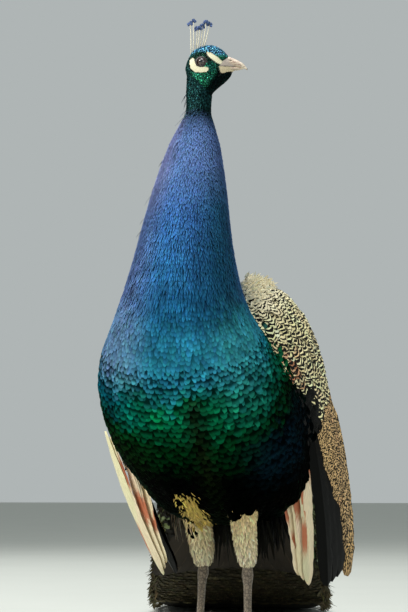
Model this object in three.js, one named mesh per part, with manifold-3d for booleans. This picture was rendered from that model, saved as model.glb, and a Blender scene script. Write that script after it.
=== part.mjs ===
// An adult male Indian peafowl (Pavo cristatus), life size, as a still museum model.
// It stands upright and alert, its breast towards -Y, its head turned square to its own left (+X),
// its wings drooped, and its folded train trailing behind it (+Y) along the floor at Z 0.
// Millimetres, +Z up. Each part is lofted along its own line, then parted from its neighbours by thin cuts.
import * as THREE from "three";
import Module from "manifold-3d";
import { mergeVertices } from "three/addons/utils/BufferGeometryUtils.js";

const wasm = await Module();
wasm.setup();

// ---------------------------------------------------------------- driving dimensions
const GAP = 0.35; // the thin cut between two neighbours
const CROWN_HEIGHT = 892; // floor to the top of the skull
const HEAD_Y = -35; // where the head's own middle plane lies
const BREAST_HALF_WIDTH = 137;
const HOCK_HEIGHT = 131; // a tarsus is about 130 mm long
const LEG_SIDE = { left: 48, right: -38 }; // how far each leg stands from the middle
const HOCK_Y = { left: 76, right: 158 }; // the right leg trails by most of a step
const TRAIN_LENGTH = 1330; // from the rump to the last eyed feathers
const TRAIN_SWING = -0.205; // how far the train drifts to the bird's right for each millimetre back
const WRIST_X = 158; // where the long wing feathers start to spread from
const WRIST_Z = 285;
const RIGHT_TUCK = 20; // degrees by which the right wing's long feathers are drawn in
const RIGHT_SHIFT = { primaries: -21, secondaries: 12, tertials: 16 }; // and each layer moved along X
const EYE_RADIUS = 7;
const BILL_TIP_X = 72.5;

const LOOKS = {
  blue: { color: 0x1d3f9a, roughness: 0.45, metalness: 0.4 },
  green: { color: 0x0f6a52, roughness: 0.5, metalness: 0.35 },
  bronze: { color: 0x54602a, roughness: 0.5, metalness: 0.35 },
  barred: { color: 0xa58f66, roughness: 0.75, metalness: 0 },
  black: { color: 0x14161b, roughness: 0.45, metalness: 0.1 },
  chestnut: { color: 0xc98a5c, roughness: 0.7, metalness: 0 },
  brown: { color: 0x4a3a2a, roughness: 0.75, metalness: 0 },
  buff: { color: 0xd8bf94, roughness: 0.85, metalness: 0 },
  horn: { color: 0xcdb9a4, roughness: 0.5, metalness: 0 },
  scale: { color: 0x9a8c76, roughness: 0.6, metalness: 0 },
  claw: { color: 0x3c332b, roughness: 0.45, metalness: 0 },
  eye: { color: 0x2a1712, roughness: 0.1, metalness: 0 },
  quill: { color: 0xe9dfc4, roughness: 0.6, metalness: 0 },
};

// ---------------------------------------------------------------- shared ways of making a solid
const v3 = (x, y, z) => new THREE.Vector3(x, y, z);
const mix = (a, b, t) => a + (b - a) * t;
const box = new THREE.Box3();

// A closed geometry as a manifold-3d solid, turned the right way round.
function solid(geometry) {
  const bare = geometry.clone();
  bare.deleteAttribute("normal");
  bare.deleteAttribute("uv");
  const merged = mergeVertices(bare, 1e-3);
  const triVerts = new Uint32Array(merged.index.array);
  const build = () =>
    new wasm.Manifold(new wasm.Mesh({ numProp: 3, vertProperties: merged.attributes.position.array, triVerts }));
  const made = build();
  if (made.volume() > 0) return made;
  for (let i = 0; i < triVerts.length; i += 3) {
    [triVerts[i + 1], triVerts[i + 2]] = [triVerts[i + 2], triVerts[i + 1]];
  }
  return build();
}

// Rows of numbers, read at any share of the way along by a Catmull-Rom curve.
function track(rows) {
  const last = rows.length - 1;
  return (share) => {
    const at = Math.min(share * last, last - 1e-9);
    const i = Math.floor(at);
    const f = at - i;
    const [a, b, c, d] = [i - 1, i, i + 1, i + 2].map((k) => rows[Math.max(0, Math.min(last, k))]);
    return b.map((p, k) => {
      const m0 = (c[k] - a[k]) / 2;
      const m1 = (d[k] - p) / 2;
      const bend = (2 * (p - c[k]) + m0 + m1) * f ** 3 + (3 * (c[k] - p) - 2 * m0 - m1) * f ** 2;
      return bend + m0 * f + p;
    });
  };
}

// A closed cylinder whose rings are moved to place(share, across, up), with across and up from -1 to 1.
function loft(segments, rings, place) {
  const geometry = new THREE.CylinderGeometry(1, 1, 1, segments, rings);
  const position = geometry.attributes.position;
  for (let i = 0; i < position.count; i += 1) {
    const point = place(0.5 - position.getY(i), position.getX(i), position.getZ(i));
    position.setXYZ(i, point.x, point.y, point.z);
  }
  return solid(geometry);
}

// A blade with a rounded tip: the outline of one long feather, or of a few that lie together.
function blade({ root, tip, face, width, thick, sag = 0, quill = 0.45, rings = 4 }) {
  const [from, to] = [v3(...root), v3(...tip)];
  const out = v3(...face).normalize();
  const middle = from.clone().lerp(to, 0.5).addScaledVector(out, sag);
  const line = new THREE.QuadraticBezierCurve3(from, middle, to);
  return loft(6, rings, (share, across, up) => {
    const t = Math.sin((share * Math.PI) / 2);
    const forward = line.getTangent(t);
    const side = new THREE.Vector3().crossVectors(forward, out).normalize();
    const swell = Math.min(1, quill + 2.4 * t);
    const round = t > 0.86 ? Math.sqrt(Math.max(0.015, 1 - ((t - 0.86) / 0.14) ** 2)) : 1;
    return line.getPoint(t)
      .addScaledVector(side, (across * width * swell * round) / 2)
      .addScaledVector(new THREE.Vector3().crossVectors(side, forward), (up * thick * (0.4 + 0.6 * round)) / 2);
  });
}

const ball = (centre, radii, wide = 12, high = 8) => {
  const geometry = new THREE.SphereGeometry(1, wide, high).scale(...radii).translate(...centre);
  return solid(geometry);
};
const joined = (solids) => solids.reduce((whole, next) => whole.add(next));

// A solid's surface as a three.js geometry.
function surface(shape) {
  const { vertProperties, triVerts, numProp, numVert } = shape.getMesh();
  const points = new Float32Array(numVert * 3);
  for (let i = 0; i < numVert; i += 1) points.set(vertProperties.subarray(i * numProp, i * numProp + 3), i * 3);
  const geometry = new THREE.BufferGeometry()
    .setAttribute("position", new THREE.BufferAttribute(points, 3))
    .setIndex(new THREE.BufferAttribute(triVerts, 1));
  geometry.computeVertexNormals();
  return geometry;
}

// The solid with its surface moved a little outwards, for cutting a gap round it.
function swollen(shape, by = GAP * 2) {
  const geometry = surface(shape);
  const { position, normal } = geometry.attributes;
  for (let i = 0; i < position.count; i += 1) {
    const point = v3().fromBufferAttribute(position, i).addScaledVector(v3().fromBufferAttribute(normal, i), by);
    position.setXYZ(i, point.x, point.y, point.z);
  }
  return solid(geometry).add(shape);
}
const clearOf = (shape, ...others) => others.reduce((rest, other) => rest.subtract(swollen(other)), shape);

// The part of a solid inside a box, given as its low and high corners.
function within(shape, low, high) {
  const size = high.map((h, k) => h - low[k]);
  const middle = high.map((h, k) => (h + low[k]) / 2);
  return shape.intersect(solid(new THREE.BoxGeometry(...size).translate(...middle)));
}
const FAR = 3000;
const above = (shape, z) => within(shape, [-FAR, -FAR, z], [FAR, FAR, FAR]);
const below = (shape, z) => within(shape, [-FAR, -FAR, -FAR], [FAR, FAR, z]);
const onFloor = (shape) => above(shape, 0);

// The largest body of a solid: a cut can leave crumbs behind.
const largest = (shape) => shape.decompose().reduce((a, b) => (a.volume() > b.volume() ? a : b));

// ---------------------------------------------------------------- trunk and neck
// Along the spine from the skull to the vent: y, z, half width, depth in front, depth behind, lean to +X.
// The breast leans a little to its right and the hips to the left, over the leg that bears the weight.
const W = BREAST_HALF_WIDTH;
const BODY = [
  [-34, 856, 17, 13, 13, 0], [-34, 826, 19.5, 16, 17, 0], [-36, 790, 20.5, 19, 20, 0], [-52, 752, 35.5, 31, 31, 0],
  [-73, 706, 47.5, 42, 42, 0], [-92, 660, 57, 50, 50, 0], [-110, 614, 65, 57, 58, 0], [-120, 568, 74, 64, 70, -1],
  [-117, 524, 86, 75, 84, -5], [-101, 482, 102, 88, 94, -10], [-70, 438, 123, 100, 102, -14],
  [-28, 394, W, 110, 110, -10], [22, 350, W + 2, 116, 108, 0], [72, 306, W - 8, 108, 98, 12], [116, 270, 120, 84, 80, 14],
  [162, 250, 94, 50, 60, 9], [204, 248, 52, 28, 38, 0], [232, 250, 14, 8, 12, 0],
];

const bodyRow = track(BODY);
const squared = (part, power) => Math.sign(part) * Math.abs(part) ** power;
function bodyPoint(share, across, up) {
  const [y, z, wide, front, back, lean] = bodyRow(share);
  const [y0, z0] = bodyRow(Math.max(0, share - 0.01));
  const [y1, z1] = bodyRow(Math.min(1, share + 0.01));
  const length = Math.hypot(y1 - y0, z1 - z0);
  const power = mix(1, 0.78, THREE.MathUtils.smoothstep(share, 0.5, 0.8)); // the belly is fuller than an oval
  const deep = squared(up, power) * (up > 0 ? front : back);
  return v3(lean + squared(across, power) * wide, y + (deep * (z1 - z0)) / length, z - (deep * (y1 - y0)) / length);
}
const body = loft(18, 26, bodyPoint);

// ---------------------------------------------------------------- head
// Along the skull from the nape to the bill: x, z, height above, height below, half width.
const CROWN = CROWN_HEIGHT - 861;
const SKULL = [
  [-20, 857, 4, 5, 4], [-16.5, 858, 13, 14, 10], [-8, 860, 24.5, 28, 15], [4, 861, CROWN - 1.5, 42, 18],
  [18, 861, CROWN, 44, 18.5], [30, 861, 27.5, 34, 15.5], [40, 861, 19, 27, 11.5], [47, 859, 12.5, 18, 8], [51, 856, 4, 9, 4],
];
const skullRow = track(SKULL);
const skull = loft(14, 8, (share, across, up) => {
  const [x, z, high, low, wide] = skullRow(share);
  return v3(x, HEAD_Y + across * wide, z + up * (up > 0 ? high : low));
});
const flesh = body.add(skull);

const NECK_TOP = 812; // the cuts that part the head, the two lengths of neck and the trunk
const NECK_MIDDLE = 668;
const NECK_BASE = 522;

// Along each half of the bill: x, z, height above, height below, half width.
const UPPER_BILL = [
  [36, 865, 7, 6, 6.5], [44, 865, 8, 6, 6.5], [52, 863.5, 6.6, 6, 5.4], [60, 861, 5, 5, 4.2],
  [67, 857.5, 3.6, 3.2, 2.6], [BILL_TIP_X, 852.5, 1.2, 1, 0.8],
];
const LOWER_BILL = [
  [34, 855.5, 4, 4.6, 6.6], [43, 855.5, 3.6, 4.2, 6], [52, 855, 2.6, 3, 4.8], [60, 854.5, 1.7, 2, 3.4],
  [66.5, 854.3, 0.7, 0.8, 1.2],
];
function billHalf(rows) {
  const row = track(rows);
  return loft(8, 6, (share, across, up) => {
    const [x, z, high, low, wide] = row(share);
    return v3(x, HEAD_Y + across * wide, z + up * (up > 0 ? high : low));
  });
}
const upperWhole = billHalf(UPPER_BILL);
const lowerWhole = clearOf(billHalf(LOWER_BILL), upperWhole);
const BILL_ROOT = 40; // the bill starts under the feathers here
const inFront = (shape) => within(shape, [BILL_ROOT, -FAR, -FAR], [FAR, FAR, FAR]);
const billUpper = inFront(upperWhole);
const billLower = inFront(lowerWhole);

const EYE_X = 8;
const EYE_Z = 864;
const EYE_OUT = 12.8; // each eye's middle, out from the head's middle plane
const eyeAt = (side) => ball([EYE_X, HEAD_Y + side * EYE_OUT, EYE_Z], [EYE_RADIUS, EYE_RADIUS, EYE_RADIUS], 9, 6);
const eyeNear = eyeAt(-1); // the bird's right eye, since the head looks to +X
const eyeFar = eyeAt(1);
const head = largest(clearOf(above(flesh, NECK_TOP), billUpper, billLower, eyeNear, eyeFar));

// ---------------------------------------------------------------- crest
// A narrow fan of bare shafts on the back of the crown, each with a small spatulate vane at its tip.
const CREST_SHAFTS = 7;
const CREST_LENGTH = 47;
function crestShaft(i) {
  const share = i / (CREST_SHAFTS - 1);
  const long = CREST_LENGTH * (1 - 0.12 * Math.sin(Math.PI * share)) * mix(1, 0.86, share);
  const lean = mix(-0.12, 0.26, share);
  const foot = v3(mix(-11, 9, share), HEAD_Y, mix(879, 890, Math.sqrt(share)));
  const end = foot.clone().add(v3(Math.sin(lean) * long, ((i % 3) - 1) * 2, Math.cos(lean) * long));
  const line = new THREE.LineCurve3(foot, end);
  const shaft = loft(4, 1, (t, across, up) => line.getPoint(t).add(v3(across * 0.8, up * 0.8, 0)));
  const vane = ball([end.x, end.y, end.z], [4.4, 1.1, 5.6], 6, 4);
  return shaft.add(vane);
}
const crestPad = within(swollen(flesh, 2.6), [-13.5, HEAD_Y - 3, 872], [11, HEAD_Y + 3, 900]);
const shafts = Array.from({ length: CREST_SHAFTS }, (_, i) => crestShaft(i));
const crest = largest(clearOf(joined([crestPad, ...shafts]), above(flesh, NECK_TOP)));

// ---------------------------------------------------------------- legs
const HIP_Z = 262; // where the thigh disappears into the belly
const ANKLE_Z = 17;
function legOf(side) {
  const x = LEG_SIDE[side];
  const hockY = HOCK_Y[side];
  const turn = Math.sign(x);
  const ankle = v3(x + turn * 4, hockY - 15, ANKLE_Z);
  // The feathered thigh: x, y, z, half width, half depth.
  const thighRow = track([
    [x + turn * 6, hockY - 78, HIP_Z, 34, 38], [x + turn * 3, hockY - 48, 218, 22, 27],
    [x, hockY - 24, 184, 19, 21], [x, hockY - 8, 156, 17.5, 18], [x, hockY, HOCK_HEIGHT + 2, 12, 12.5],
  ]);
  const thigh = loft(12, 6, (share, across, up) => {
    const [cx, cy, cz, wide, deep] = thighRow(share);
    return v3(cx + across * wide, cy - up * deep, cz);
  });
  // The bare scaly shank, from the knob of the hock to the ankle.
  const shankRow = track([
    [x, hockY + 1, HOCK_HEIGHT + 3, 7, 8], [x, hockY + 1, HOCK_HEIGHT - 8, 8.4, 9.4],
    [x + turn, hockY - 3, HOCK_HEIGHT - 26, 6.2, 7.4], [x + turn * 2, hockY - 8, 66, 5.6, 6.8],
    [x + turn * 4, hockY - 14, 26, 6.6, 7.4], [ankle.x, ankle.y, ankle.z - 2, 7.6, 8.4],
  ]);
  const shank = loft(9, 8, (share, across, up) => {
    const [cx, cy, cz, wide, deep] = shankRow(share);
    return v3(cx + across * wide, cy - up * deep, cz);
  });
  return { x, turn, ankle, thigh, shank, hockY };
}

// Each toe: the angle from straight ahead towards the outer side, its length and its half width at the root.
const TOES = {
  inner: { angle: -34, long: 52, half: 5.6 },
  middle: { angle: -2, long: 74, half: 6.4 },
  outer: { angle: 30, long: 56, half: 5.6 },
  hind: { angle: 200, long: 27, half: 4.4 },
};
function toe(ankle, turn, { angle, long, half }) {
  const a = (angle * Math.PI) / 180;
  const way = v3(turn * Math.sin(a), -Math.cos(a), 0);
  const across = v3(-way.y, way.x, 0);
  const at = (share, side, up) => {
    const thin = mix(half, half * 0.62, share) * (1 + 0.1 * Math.cos(share * Math.PI * 6));
    const high = mix(ankle.z - 5, half * 0.5, Math.min(1, share * 2.4));
    return ankle.clone().setZ(high).addScaledVector(way, share * long)
      .addScaledVector(across, side * thin).add(v3(0, 0, up * thin * 0.95));
  };
  const pad = loft(6, 5, at);
  const nail = (share, side, up) => {
    const thin = mix(half * 0.5, 0.45, share);
    const drop = mix(half * 0.62, 0.9, share ** 1.7);
    return ankle.clone().setZ(drop + up * thin).addScaledVector(way, long - 2 + share * half * 2.6)
      .addScaledVector(across, side * thin * 0.8);
  };
  return { pad, claw: onFloor(loft(6, 4, nail)) };
}

const legs = {};
for (const side of ["left", "right"]) {
  const leg = legOf(side);
  const toes = Object.fromEntries(Object.entries(TOES).map(([name, form]) => [name, toe(leg.ankle, leg.turn, form)]));
  const heel = ball([leg.ankle.x, leg.ankle.y, 9], [9.5, 10, 9.5], 8, 5);
  const foot = onFloor(joined([heel, ...Object.values(toes).map((t) => t.pad)]));
  const shank = above(leg.shank, ANKLE_Z);
  const spurY = leg.hockY + 4;
  const spur = loft(6, 4, (share, across, up) => {
    const thin = mix(4.2, 0.4, share);
    return v3(leg.x - leg.turn * share * 7 + across * thin, spurY + share * 22, 58 + share ** 2 * 6 + up * thin);
  });
  legs[side] = {
    thigh: clearOf(leg.thigh, body),
    shank: largest(clearOf(shank, clearOf(leg.thigh, body), foot)),
    foot,
    spur: largest(clearOf(spur, leg.shank)),
    claws: Object.fromEntries(Object.entries(toes).map(([name, t]) => [name, largest(clearOf(t.claw, foot))])),
  };
}

// ---------------------------------------------------------------- wings
// Each wing hangs loosely: a thick pad of scapulars and coverts over the side of the trunk,
// and long feathers that reach down and back from it. All places are the left wing's.
// Covert pad, from the shoulder to where the long feathers start: x, y, z, half chord, half thickness.
const COVERTS = [
  [62, -30, 548, 10, 8], [81, -6, 528, 44, 20], [101, 28, 488, 70, 32], [115, 66, 442, 80, 36],
  [130, 106, 388, 76, 29], [144, 142, 332, 58, 17], [153, 168, 290, 34, 8],
];
const covertRow = track(COVERTS);
const WING_FACE = v3(0.93, -0.25, 0.25).normalize(); // the way the outside of the wing looks
const WING_RUN = v3(0.14, 0.45, -0.88).normalize(); // from the shoulder to the tips
const WING_CHORD = new THREE.Vector3().crossVectors(WING_RUN, WING_FACE).normalize(); // from back to front
function covertPoint(share, across, up) {
  const [x, y, z, chord, thick] = covertRow(share);
  return v3(x, y, z).addScaledVector(WING_CHORD, across * chord).addScaledVector(WING_FACE, up * thick);
}

// Layers of long feathers, each a row of blades between two roots and two tips.
function layer({ count, roots, tips, width, thick, face, sag, quill }) {
  return Array.from({ length: count }, (_, i) => {
    const share = i / (count - 1);
    const root = roots[0].map((a, k) => mix(a, roots[1][k], share));
    const tip = tips[0].map((a, k) => mix(a, tips[1][k], share));
    return blade({ root, tip, width: mix(width[0], width[1], share), thick, face, sag, quill });
  });
}
const TERTIALS = {
  count: 3, roots: [[150, 150, 400], [146, 98, 372]], tips: [[173, 236, 112], [160, 166, 228]],
  width: [54, 48], thick: 6, face: [0.78, -0.6, 0.08], sag: 30, quill: 0.7,
};
const SECONDARIES = {
  count: 3, roots: [[142, 128, 356], [134, 80, 372]], tips: [[164, 206, 120], [150, 158, 102]],
  width: [50, 44], thick: 5, face: [0.8, -0.58, 0.1], sag: 20, quill: 0.8,
};
const HAND = [[128, 92, 312], [18, 24, 54]]; // the hand that the primaries grow from: its middle and radii
const PRIMARIES = {
  count: 4, roots: [[131, 74, 336], [94, 88, 262]], tips: [[131, 124, 106], [116, 110, 124]],
  width: [27, 24], thick: 4, face: [0.8, -0.58, 0.1], sag: 14, quill: 0.9,
};

// The wing on one side: the right one is the mirror image, its long feathers tucked in towards the legs.
function wingOf(side) {
  const turned = (shape, name) => shape.mirror([1, 0, 0]).translate(WRIST_X + RIGHT_SHIFT[name], 0, -WRIST_Z)
    .rotate([0, -RIGHT_TUCK, 0]).translate(-WRIST_X, 0, WRIST_Z);
  const [long, pad] = side === "left" ? [(s) => s, (s) => s] : [turned, (s) => s.mirror([1, 0, 0])];
  const thigh = legs[side].thigh;
  // The pad is cut by each primary in turn, because a union of them swells into itself at its creases.
  const hand = [...layer(PRIMARIES), ball(...HAND, 10, 6)].map((shape) => long(shape, "primaries"));
  const primaries = largest(clearOf(joined(hand), body, thigh));
  const coverts = largest(clearOf(pad(loft(12, 8, covertPoint)), body, ...hand));
  const blades = (form, name) => joined(layer(form).map((shape) => long(shape, name)));
  const secondaries = largest(clearOf(blades(SECONDARIES, "secondaries"), body, coverts, primaries, thigh));
  const tertials = largest(clearOf(blades(TERTIALS, "tertials"), body, coverts, secondaries, primaries));
  return { coverts, tertials, secondaries, primaries };
}

// ---------------------------------------------------------------- tail and train
// The train, from the rump to the tips: share of its length, z, half width, half thickness.
const RUMP_Y = 150;
const TRAIN = [
  [0, 346, 62, 18], [0.07, 334, 100, 40], [0.15, 282, 118, 44], [0.25, 214, 132, 40],
  [0.36, 152, 146, 34], [0.49, 97, 160, 29], [0.63, 54, 172, 24], [0.78, 23, 176, 18],
  [0.9, 10, 160, 13], [0.97, 5, 122, 9], [1, 3, 60, 5],
];
const trainRow = track(TRAIN);
const swung = (y) => TRAIN_SWING * Math.max(0, y - RUMP_Y - 60); // where the train's middle lies, along X
function trainPoint(share, across, up) {
  const [along, z, wide, thick] = trainRow(share);
  const crown = Math.sqrt(Math.max(0, 1 - 0.75 * across ** 2));
  const y = RUMP_Y + along * TRAIN_LENGTH;
  return v3(swung(y) + across * wide, y, z + squared(up, 0.7) * thick - (1 - crown) * thick * 0.9);
}
// The stiff brown tail, under the train, carries it.
const TAIL_FEATHERS = 5;
const tailBlades = Array.from({ length: TAIL_FEATHERS }, (_, i) => {
  const side = mix(-1, 1, i / (TAIL_FEATHERS - 1));
  return blade({
    root: [side * 26, 205, 266 - 6 * side ** 2],
    tip: [side * 112 + swung(590), 590 - 60 * side ** 2 + 40 * side, 112 - 10 * side ** 2],
    face: [side * 0.2, 0.45, 1], width: 66, thick: 5, sag: -8, quill: 0.5,
  });
});

const tail = largest(clearOf(joined(tailBlades), body));
const train = onFloor(clearOf(loft(12, 15, trainPoint), body, tail));
const TRAIN_CUTS = [RUMP_Y + 330, RUMP_Y + 800];
const trainPart = (from, to) => largest(within(train, [-FAR, from, -FAR], [FAR, to, FAR]));

// ---------------------------------------------------------------- the bird
const bird = new THREE.Group();

// Adds one named piece of the bird.
function piece(name, shape, colour) {
  const mesh = new THREE.Mesh(surface(shape), new THREE.MeshStandardMaterial({ ...LOOKS[colour] }));
  mesh.name = name;
  bird.add(mesh);
  box.expandByObject(mesh);
}

piece("head", head, "green");
piece("neck_upper", below(above(flesh, NECK_MIDDLE), NECK_TOP - GAP), "blue");
piece("neck_lower", below(above(flesh, NECK_BASE), NECK_MIDDLE - GAP), "blue");
piece("trunk", below(flesh, NECK_BASE - GAP), "green");
piece("bill_upper", billUpper, "horn");
piece("bill_lower", largest(billLower), "horn");
piece("eye_right", eyeNear, "eye");
piece("eye_left", eyeFar, "eye");
piece("crest", crest, "quill");
const WING_LOOKS = { coverts: "barred", tertials: "barred", secondaries: "black", primaries: "chestnut" };
for (const side of ["left", "right"]) {
  const leg = legs[side];
  piece(`thigh_${side}`, leg.thigh, "buff");
  piece(`shank_${side}`, leg.shank, "scale");
  piece(`foot_${side}`, leg.foot, "scale");
  piece(`spur_${side}`, leg.spur, "claw");
  for (const [name, claw] of Object.entries(leg.claws)) piece(`claw_${side}_${name}`, claw, "claw");
  for (const [name, shape] of Object.entries(wingOf(side))) piece(`wing_${side}_${name}`, shape, WING_LOOKS[name]);
}
piece("tail", tail, "brown");
piece("train_base", trainPart(-FAR, TRAIN_CUTS[0] - GAP), "bronze");
piece("train_middle", trainPart(TRAIN_CUTS[0], TRAIN_CUTS[1] - GAP), "bronze");
piece("train_end", trainPart(TRAIN_CUTS[1], FAR), "bronze");

// The origin is on the floor, under the middle of the bird's own box.
const middle = box.getCenter(new THREE.Vector3());
bird.position.set(-middle.x, -middle.y, 0);
export default bird;
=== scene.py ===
import math

import bmesh
import bpy
import numpy as np
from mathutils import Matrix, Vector
from mathutils.bvhtree import BVHTree
from mathutils.kdtree import KDTree


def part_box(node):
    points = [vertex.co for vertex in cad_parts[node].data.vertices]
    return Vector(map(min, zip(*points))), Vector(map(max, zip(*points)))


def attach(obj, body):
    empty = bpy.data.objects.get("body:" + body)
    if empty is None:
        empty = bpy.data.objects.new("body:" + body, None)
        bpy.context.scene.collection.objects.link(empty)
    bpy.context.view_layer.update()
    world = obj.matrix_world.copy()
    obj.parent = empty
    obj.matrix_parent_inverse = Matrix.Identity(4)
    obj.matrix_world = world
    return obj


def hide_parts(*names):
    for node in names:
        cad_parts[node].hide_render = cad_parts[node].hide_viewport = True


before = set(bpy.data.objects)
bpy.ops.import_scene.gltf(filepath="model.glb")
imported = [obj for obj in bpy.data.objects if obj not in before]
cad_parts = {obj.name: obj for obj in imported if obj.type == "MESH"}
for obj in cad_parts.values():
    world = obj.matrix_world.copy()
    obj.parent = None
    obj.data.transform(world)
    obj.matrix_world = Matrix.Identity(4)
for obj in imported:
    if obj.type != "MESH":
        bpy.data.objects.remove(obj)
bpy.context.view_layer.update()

# ---------------------------------------------------------------- bare skin
# The bird's own thin skin, over the flesh of the trunk, neck, head, thighs and upper arms. It is one
# closed hide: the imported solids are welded, smoothed, and drawn in by the depth of the coat that
# grows on it. Bill and eyes are welded in too, so that the hide runs on under them without a hole.
MM = 0.001
EYE_LEFT = (8, -22.2, 864)  # the drawing's place of the left eye, from the floor under the hips
eye_low, eye_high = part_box("eye_left")
FLOOR_MARK = np.array((eye_low + eye_high) / 2) / MM - np.array(EYE_LEFT)
FLESH = ["trunk", "neck_lower", "neck_upper", "head", "thigh_left", "thigh_right",
         "wing_left_coverts", "wing_right_coverts"]
UNDER_TRIM = ["eye_left", "eye_right", "bill_upper", "bill_lower"]
SKIN_VOXEL = 3.4 * MM
BROW = 826 * MM  # above this height the hide is divided finely, for the face
FACE_FADE = 780, 830  # over these heights the coat thins out towards the head
COAT_DEPTH = {"body": 3.4, "head": 0.9}


def placed(points):
    """Points of the drawing, in millimetres from the floor under the hips, as metres in the frame."""
    return (np.asarray(points, float) + FLOOR_MARK) * MM


def drawn(points):
    """Points of the frame, in metres, as millimetres of the drawing."""
    return np.asarray(points, float) / MM - FLOOR_MARK


def smoothstep(value, low, high):
    """0 at low, 1 at high, and smooth between; high may be the smaller."""
    share = np.clip((np.asarray(value, float) - low) / (high - low), 0, 1)
    return share * share * (3 - 2 * share)


def blend(first, second, share):
    """From the first value at 0 to the second at 1."""
    return first * (1 - share) + second * share


def merged(nodes):
    """CAD nodes copied into one bmesh, with their loose triangles joined."""
    form = bmesh.new()
    for node in nodes:
        form.from_mesh(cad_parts[node].data)
    bmesh.ops.remove_doubles(form, verts=form.verts, dist=0.01 * MM)
    return form


def welded(form, voxel):
    """The union of the closed shells in a bmesh, as a new bmesh of even quads."""
    shell = bpy.data.meshes.new("shell")
    form.to_mesh(shell)
    form.free()
    blank = bpy.data.objects.new("shell", shell)
    bpy.context.scene.collection.objects.link(blank)
    weld = blank.modifiers.new("weld", "REMESH")
    weld.mode, weld.voxel_size = "VOXEL", voxel
    whole = bmesh.new()
    whole.from_object(blank, bpy.context.evaluated_depsgraph_get())
    bpy.data.objects.remove(blank)
    return whole


def evened(form, times, above=-math.inf):
    """Smooths a bmesh, or only what lies above a height in metres."""
    for _ in range(times):
        bmesh.ops.smooth_vert(form, verts=[v for v in form.verts if v.co.z > above], factor=0.5,
                              use_axis_x=True, use_axis_y=True, use_axis_z=True)
    form.normal_update()


def moved(form, places):
    """Puts each vertex of a bmesh at its new place."""
    for vertex, place in zip(form.verts, places):
        vertex.co = place


hide = welded(merged(FLESH + UNDER_TRIM), SKIN_VOXEL)
evened(hide, 6)
face_edges = [edge for edge in hide.edges if min(end.co.z for end in edge.verts) > BROW]
bmesh.ops.subdivide_edges(hide, edges=face_edges, cuts=2, use_grid_fill=True, smooth=0.6)
evened(hide, 3, above=BROW)
for vertex in hide.verts:
    near_head = float(smoothstep(vertex.co.z / MM, *FACE_FADE))
    vertex.co -= vertex.normal * blend(COAT_DEPTH["body"], COAT_DEPTH["head"], near_head) * MM
hide.normal_update()
hide_points = drawn([vertex.co for vertex in hide.verts])
moved(hide, hide_points)
touch = BVHTree.FromBMesh(hide)  # in the drawing's millimetres, as the feathers are laid in them
moved(hide, placed(hide_points))


def on_skin(points):
    """For each point: the nearest place on the hide, the hide's normal there, and the height above it."""
    hits = [touch.find_nearest(Vector(point))[:2] for point in points]
    places = np.array([hit[0] for hit in hits])
    normals = np.array([hit[1] for hit in hits])
    return places, normals, np.sum((points - places) * normals, axis=1)


# The hide is dyed once the whole coat is on, with the colours of the feathers that grow from it.
coat_roots, coat_shades = [], []

# ---------------------------------------------------------------- neck, breast, belly and back
# The small feathers of the neck and body: fine violet-blue lancets down the neck, which widen to
# green scales on the breast, soft black down under the belly, and bronze scales over the back.
# Each is one thin closed vane, rooted in the hide and laid back over the feathers behind it.
SPINE = [  # y, z, half width, depth in front, depth behind, lean to the left
    [-34, 856, 17, 13, 13, 0], [-34, 826, 19.5, 16, 17, 0], [-36, 790, 20.5, 19, 20, 0],
    [-52, 752, 35.5, 31, 31, 0], [-73, 706, 47.5, 42, 42, 0], [-92, 660, 57, 50, 50, 0],
    [-110, 614, 65, 57, 58, 0], [-120, 568, 74, 64, 70, -1], [-117, 524, 86, 75, 84, -5],
    [-101, 482, 102, 88, 94, -10], [-70, 438, 123, 100, 102, -14], [-28, 394, 137, 110, 110, -10],
    [22, 350, 139, 116, 108, 0], [72, 306, 129, 108, 98, 12], [116, 270, 120, 84, 80, 14],
    [162, 250, 94, 50, 60, 9], [204, 248, 52, 28, 38, 0], [232, 250, 14, 8, 12, 0],
]
FULL_TURN = 2 * math.pi
BAKE_PATCH = 0.003  # how wide a feather's patch is on the bake map
LANCET = [(0, 0.5), (0.35, 1), (0.7, 0.72), (0.92, 0.3)]  # how wide a vane is, along its length
SCALE = [(0, 0.45), (0.4, 0.95), (0.75, 1), (0.95, 0.55)]
PLAIN = ((-1, 0), (0, 1), (1, 0))  # a vane's cross-section: across, and how much of its thickness
SUNK = -0.6  # a root that lies deeper than this, in millimetres, is under other flesh
rng = np.random.default_rng(7)


def piece_of(form, name, slot_name, material, *nodes):
    """A finished piece of the bird from a bmesh or a mesh: smooth, riding on the root."""
    if isinstance(form, bmesh.types.BMesh):
        mesh = bpy.data.meshes.new(name)
        form.to_mesh(mesh)
        form.free()
    else:
        mesh = form
    mesh.shade_smooth()
    made = bpy.data.objects.new(name, mesh)
    bpy.context.scene.collection.objects.link(made)
    mesh.materials.append(material)
    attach(made, "root")
    if nodes:
        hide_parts(*nodes)
    return made


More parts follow.
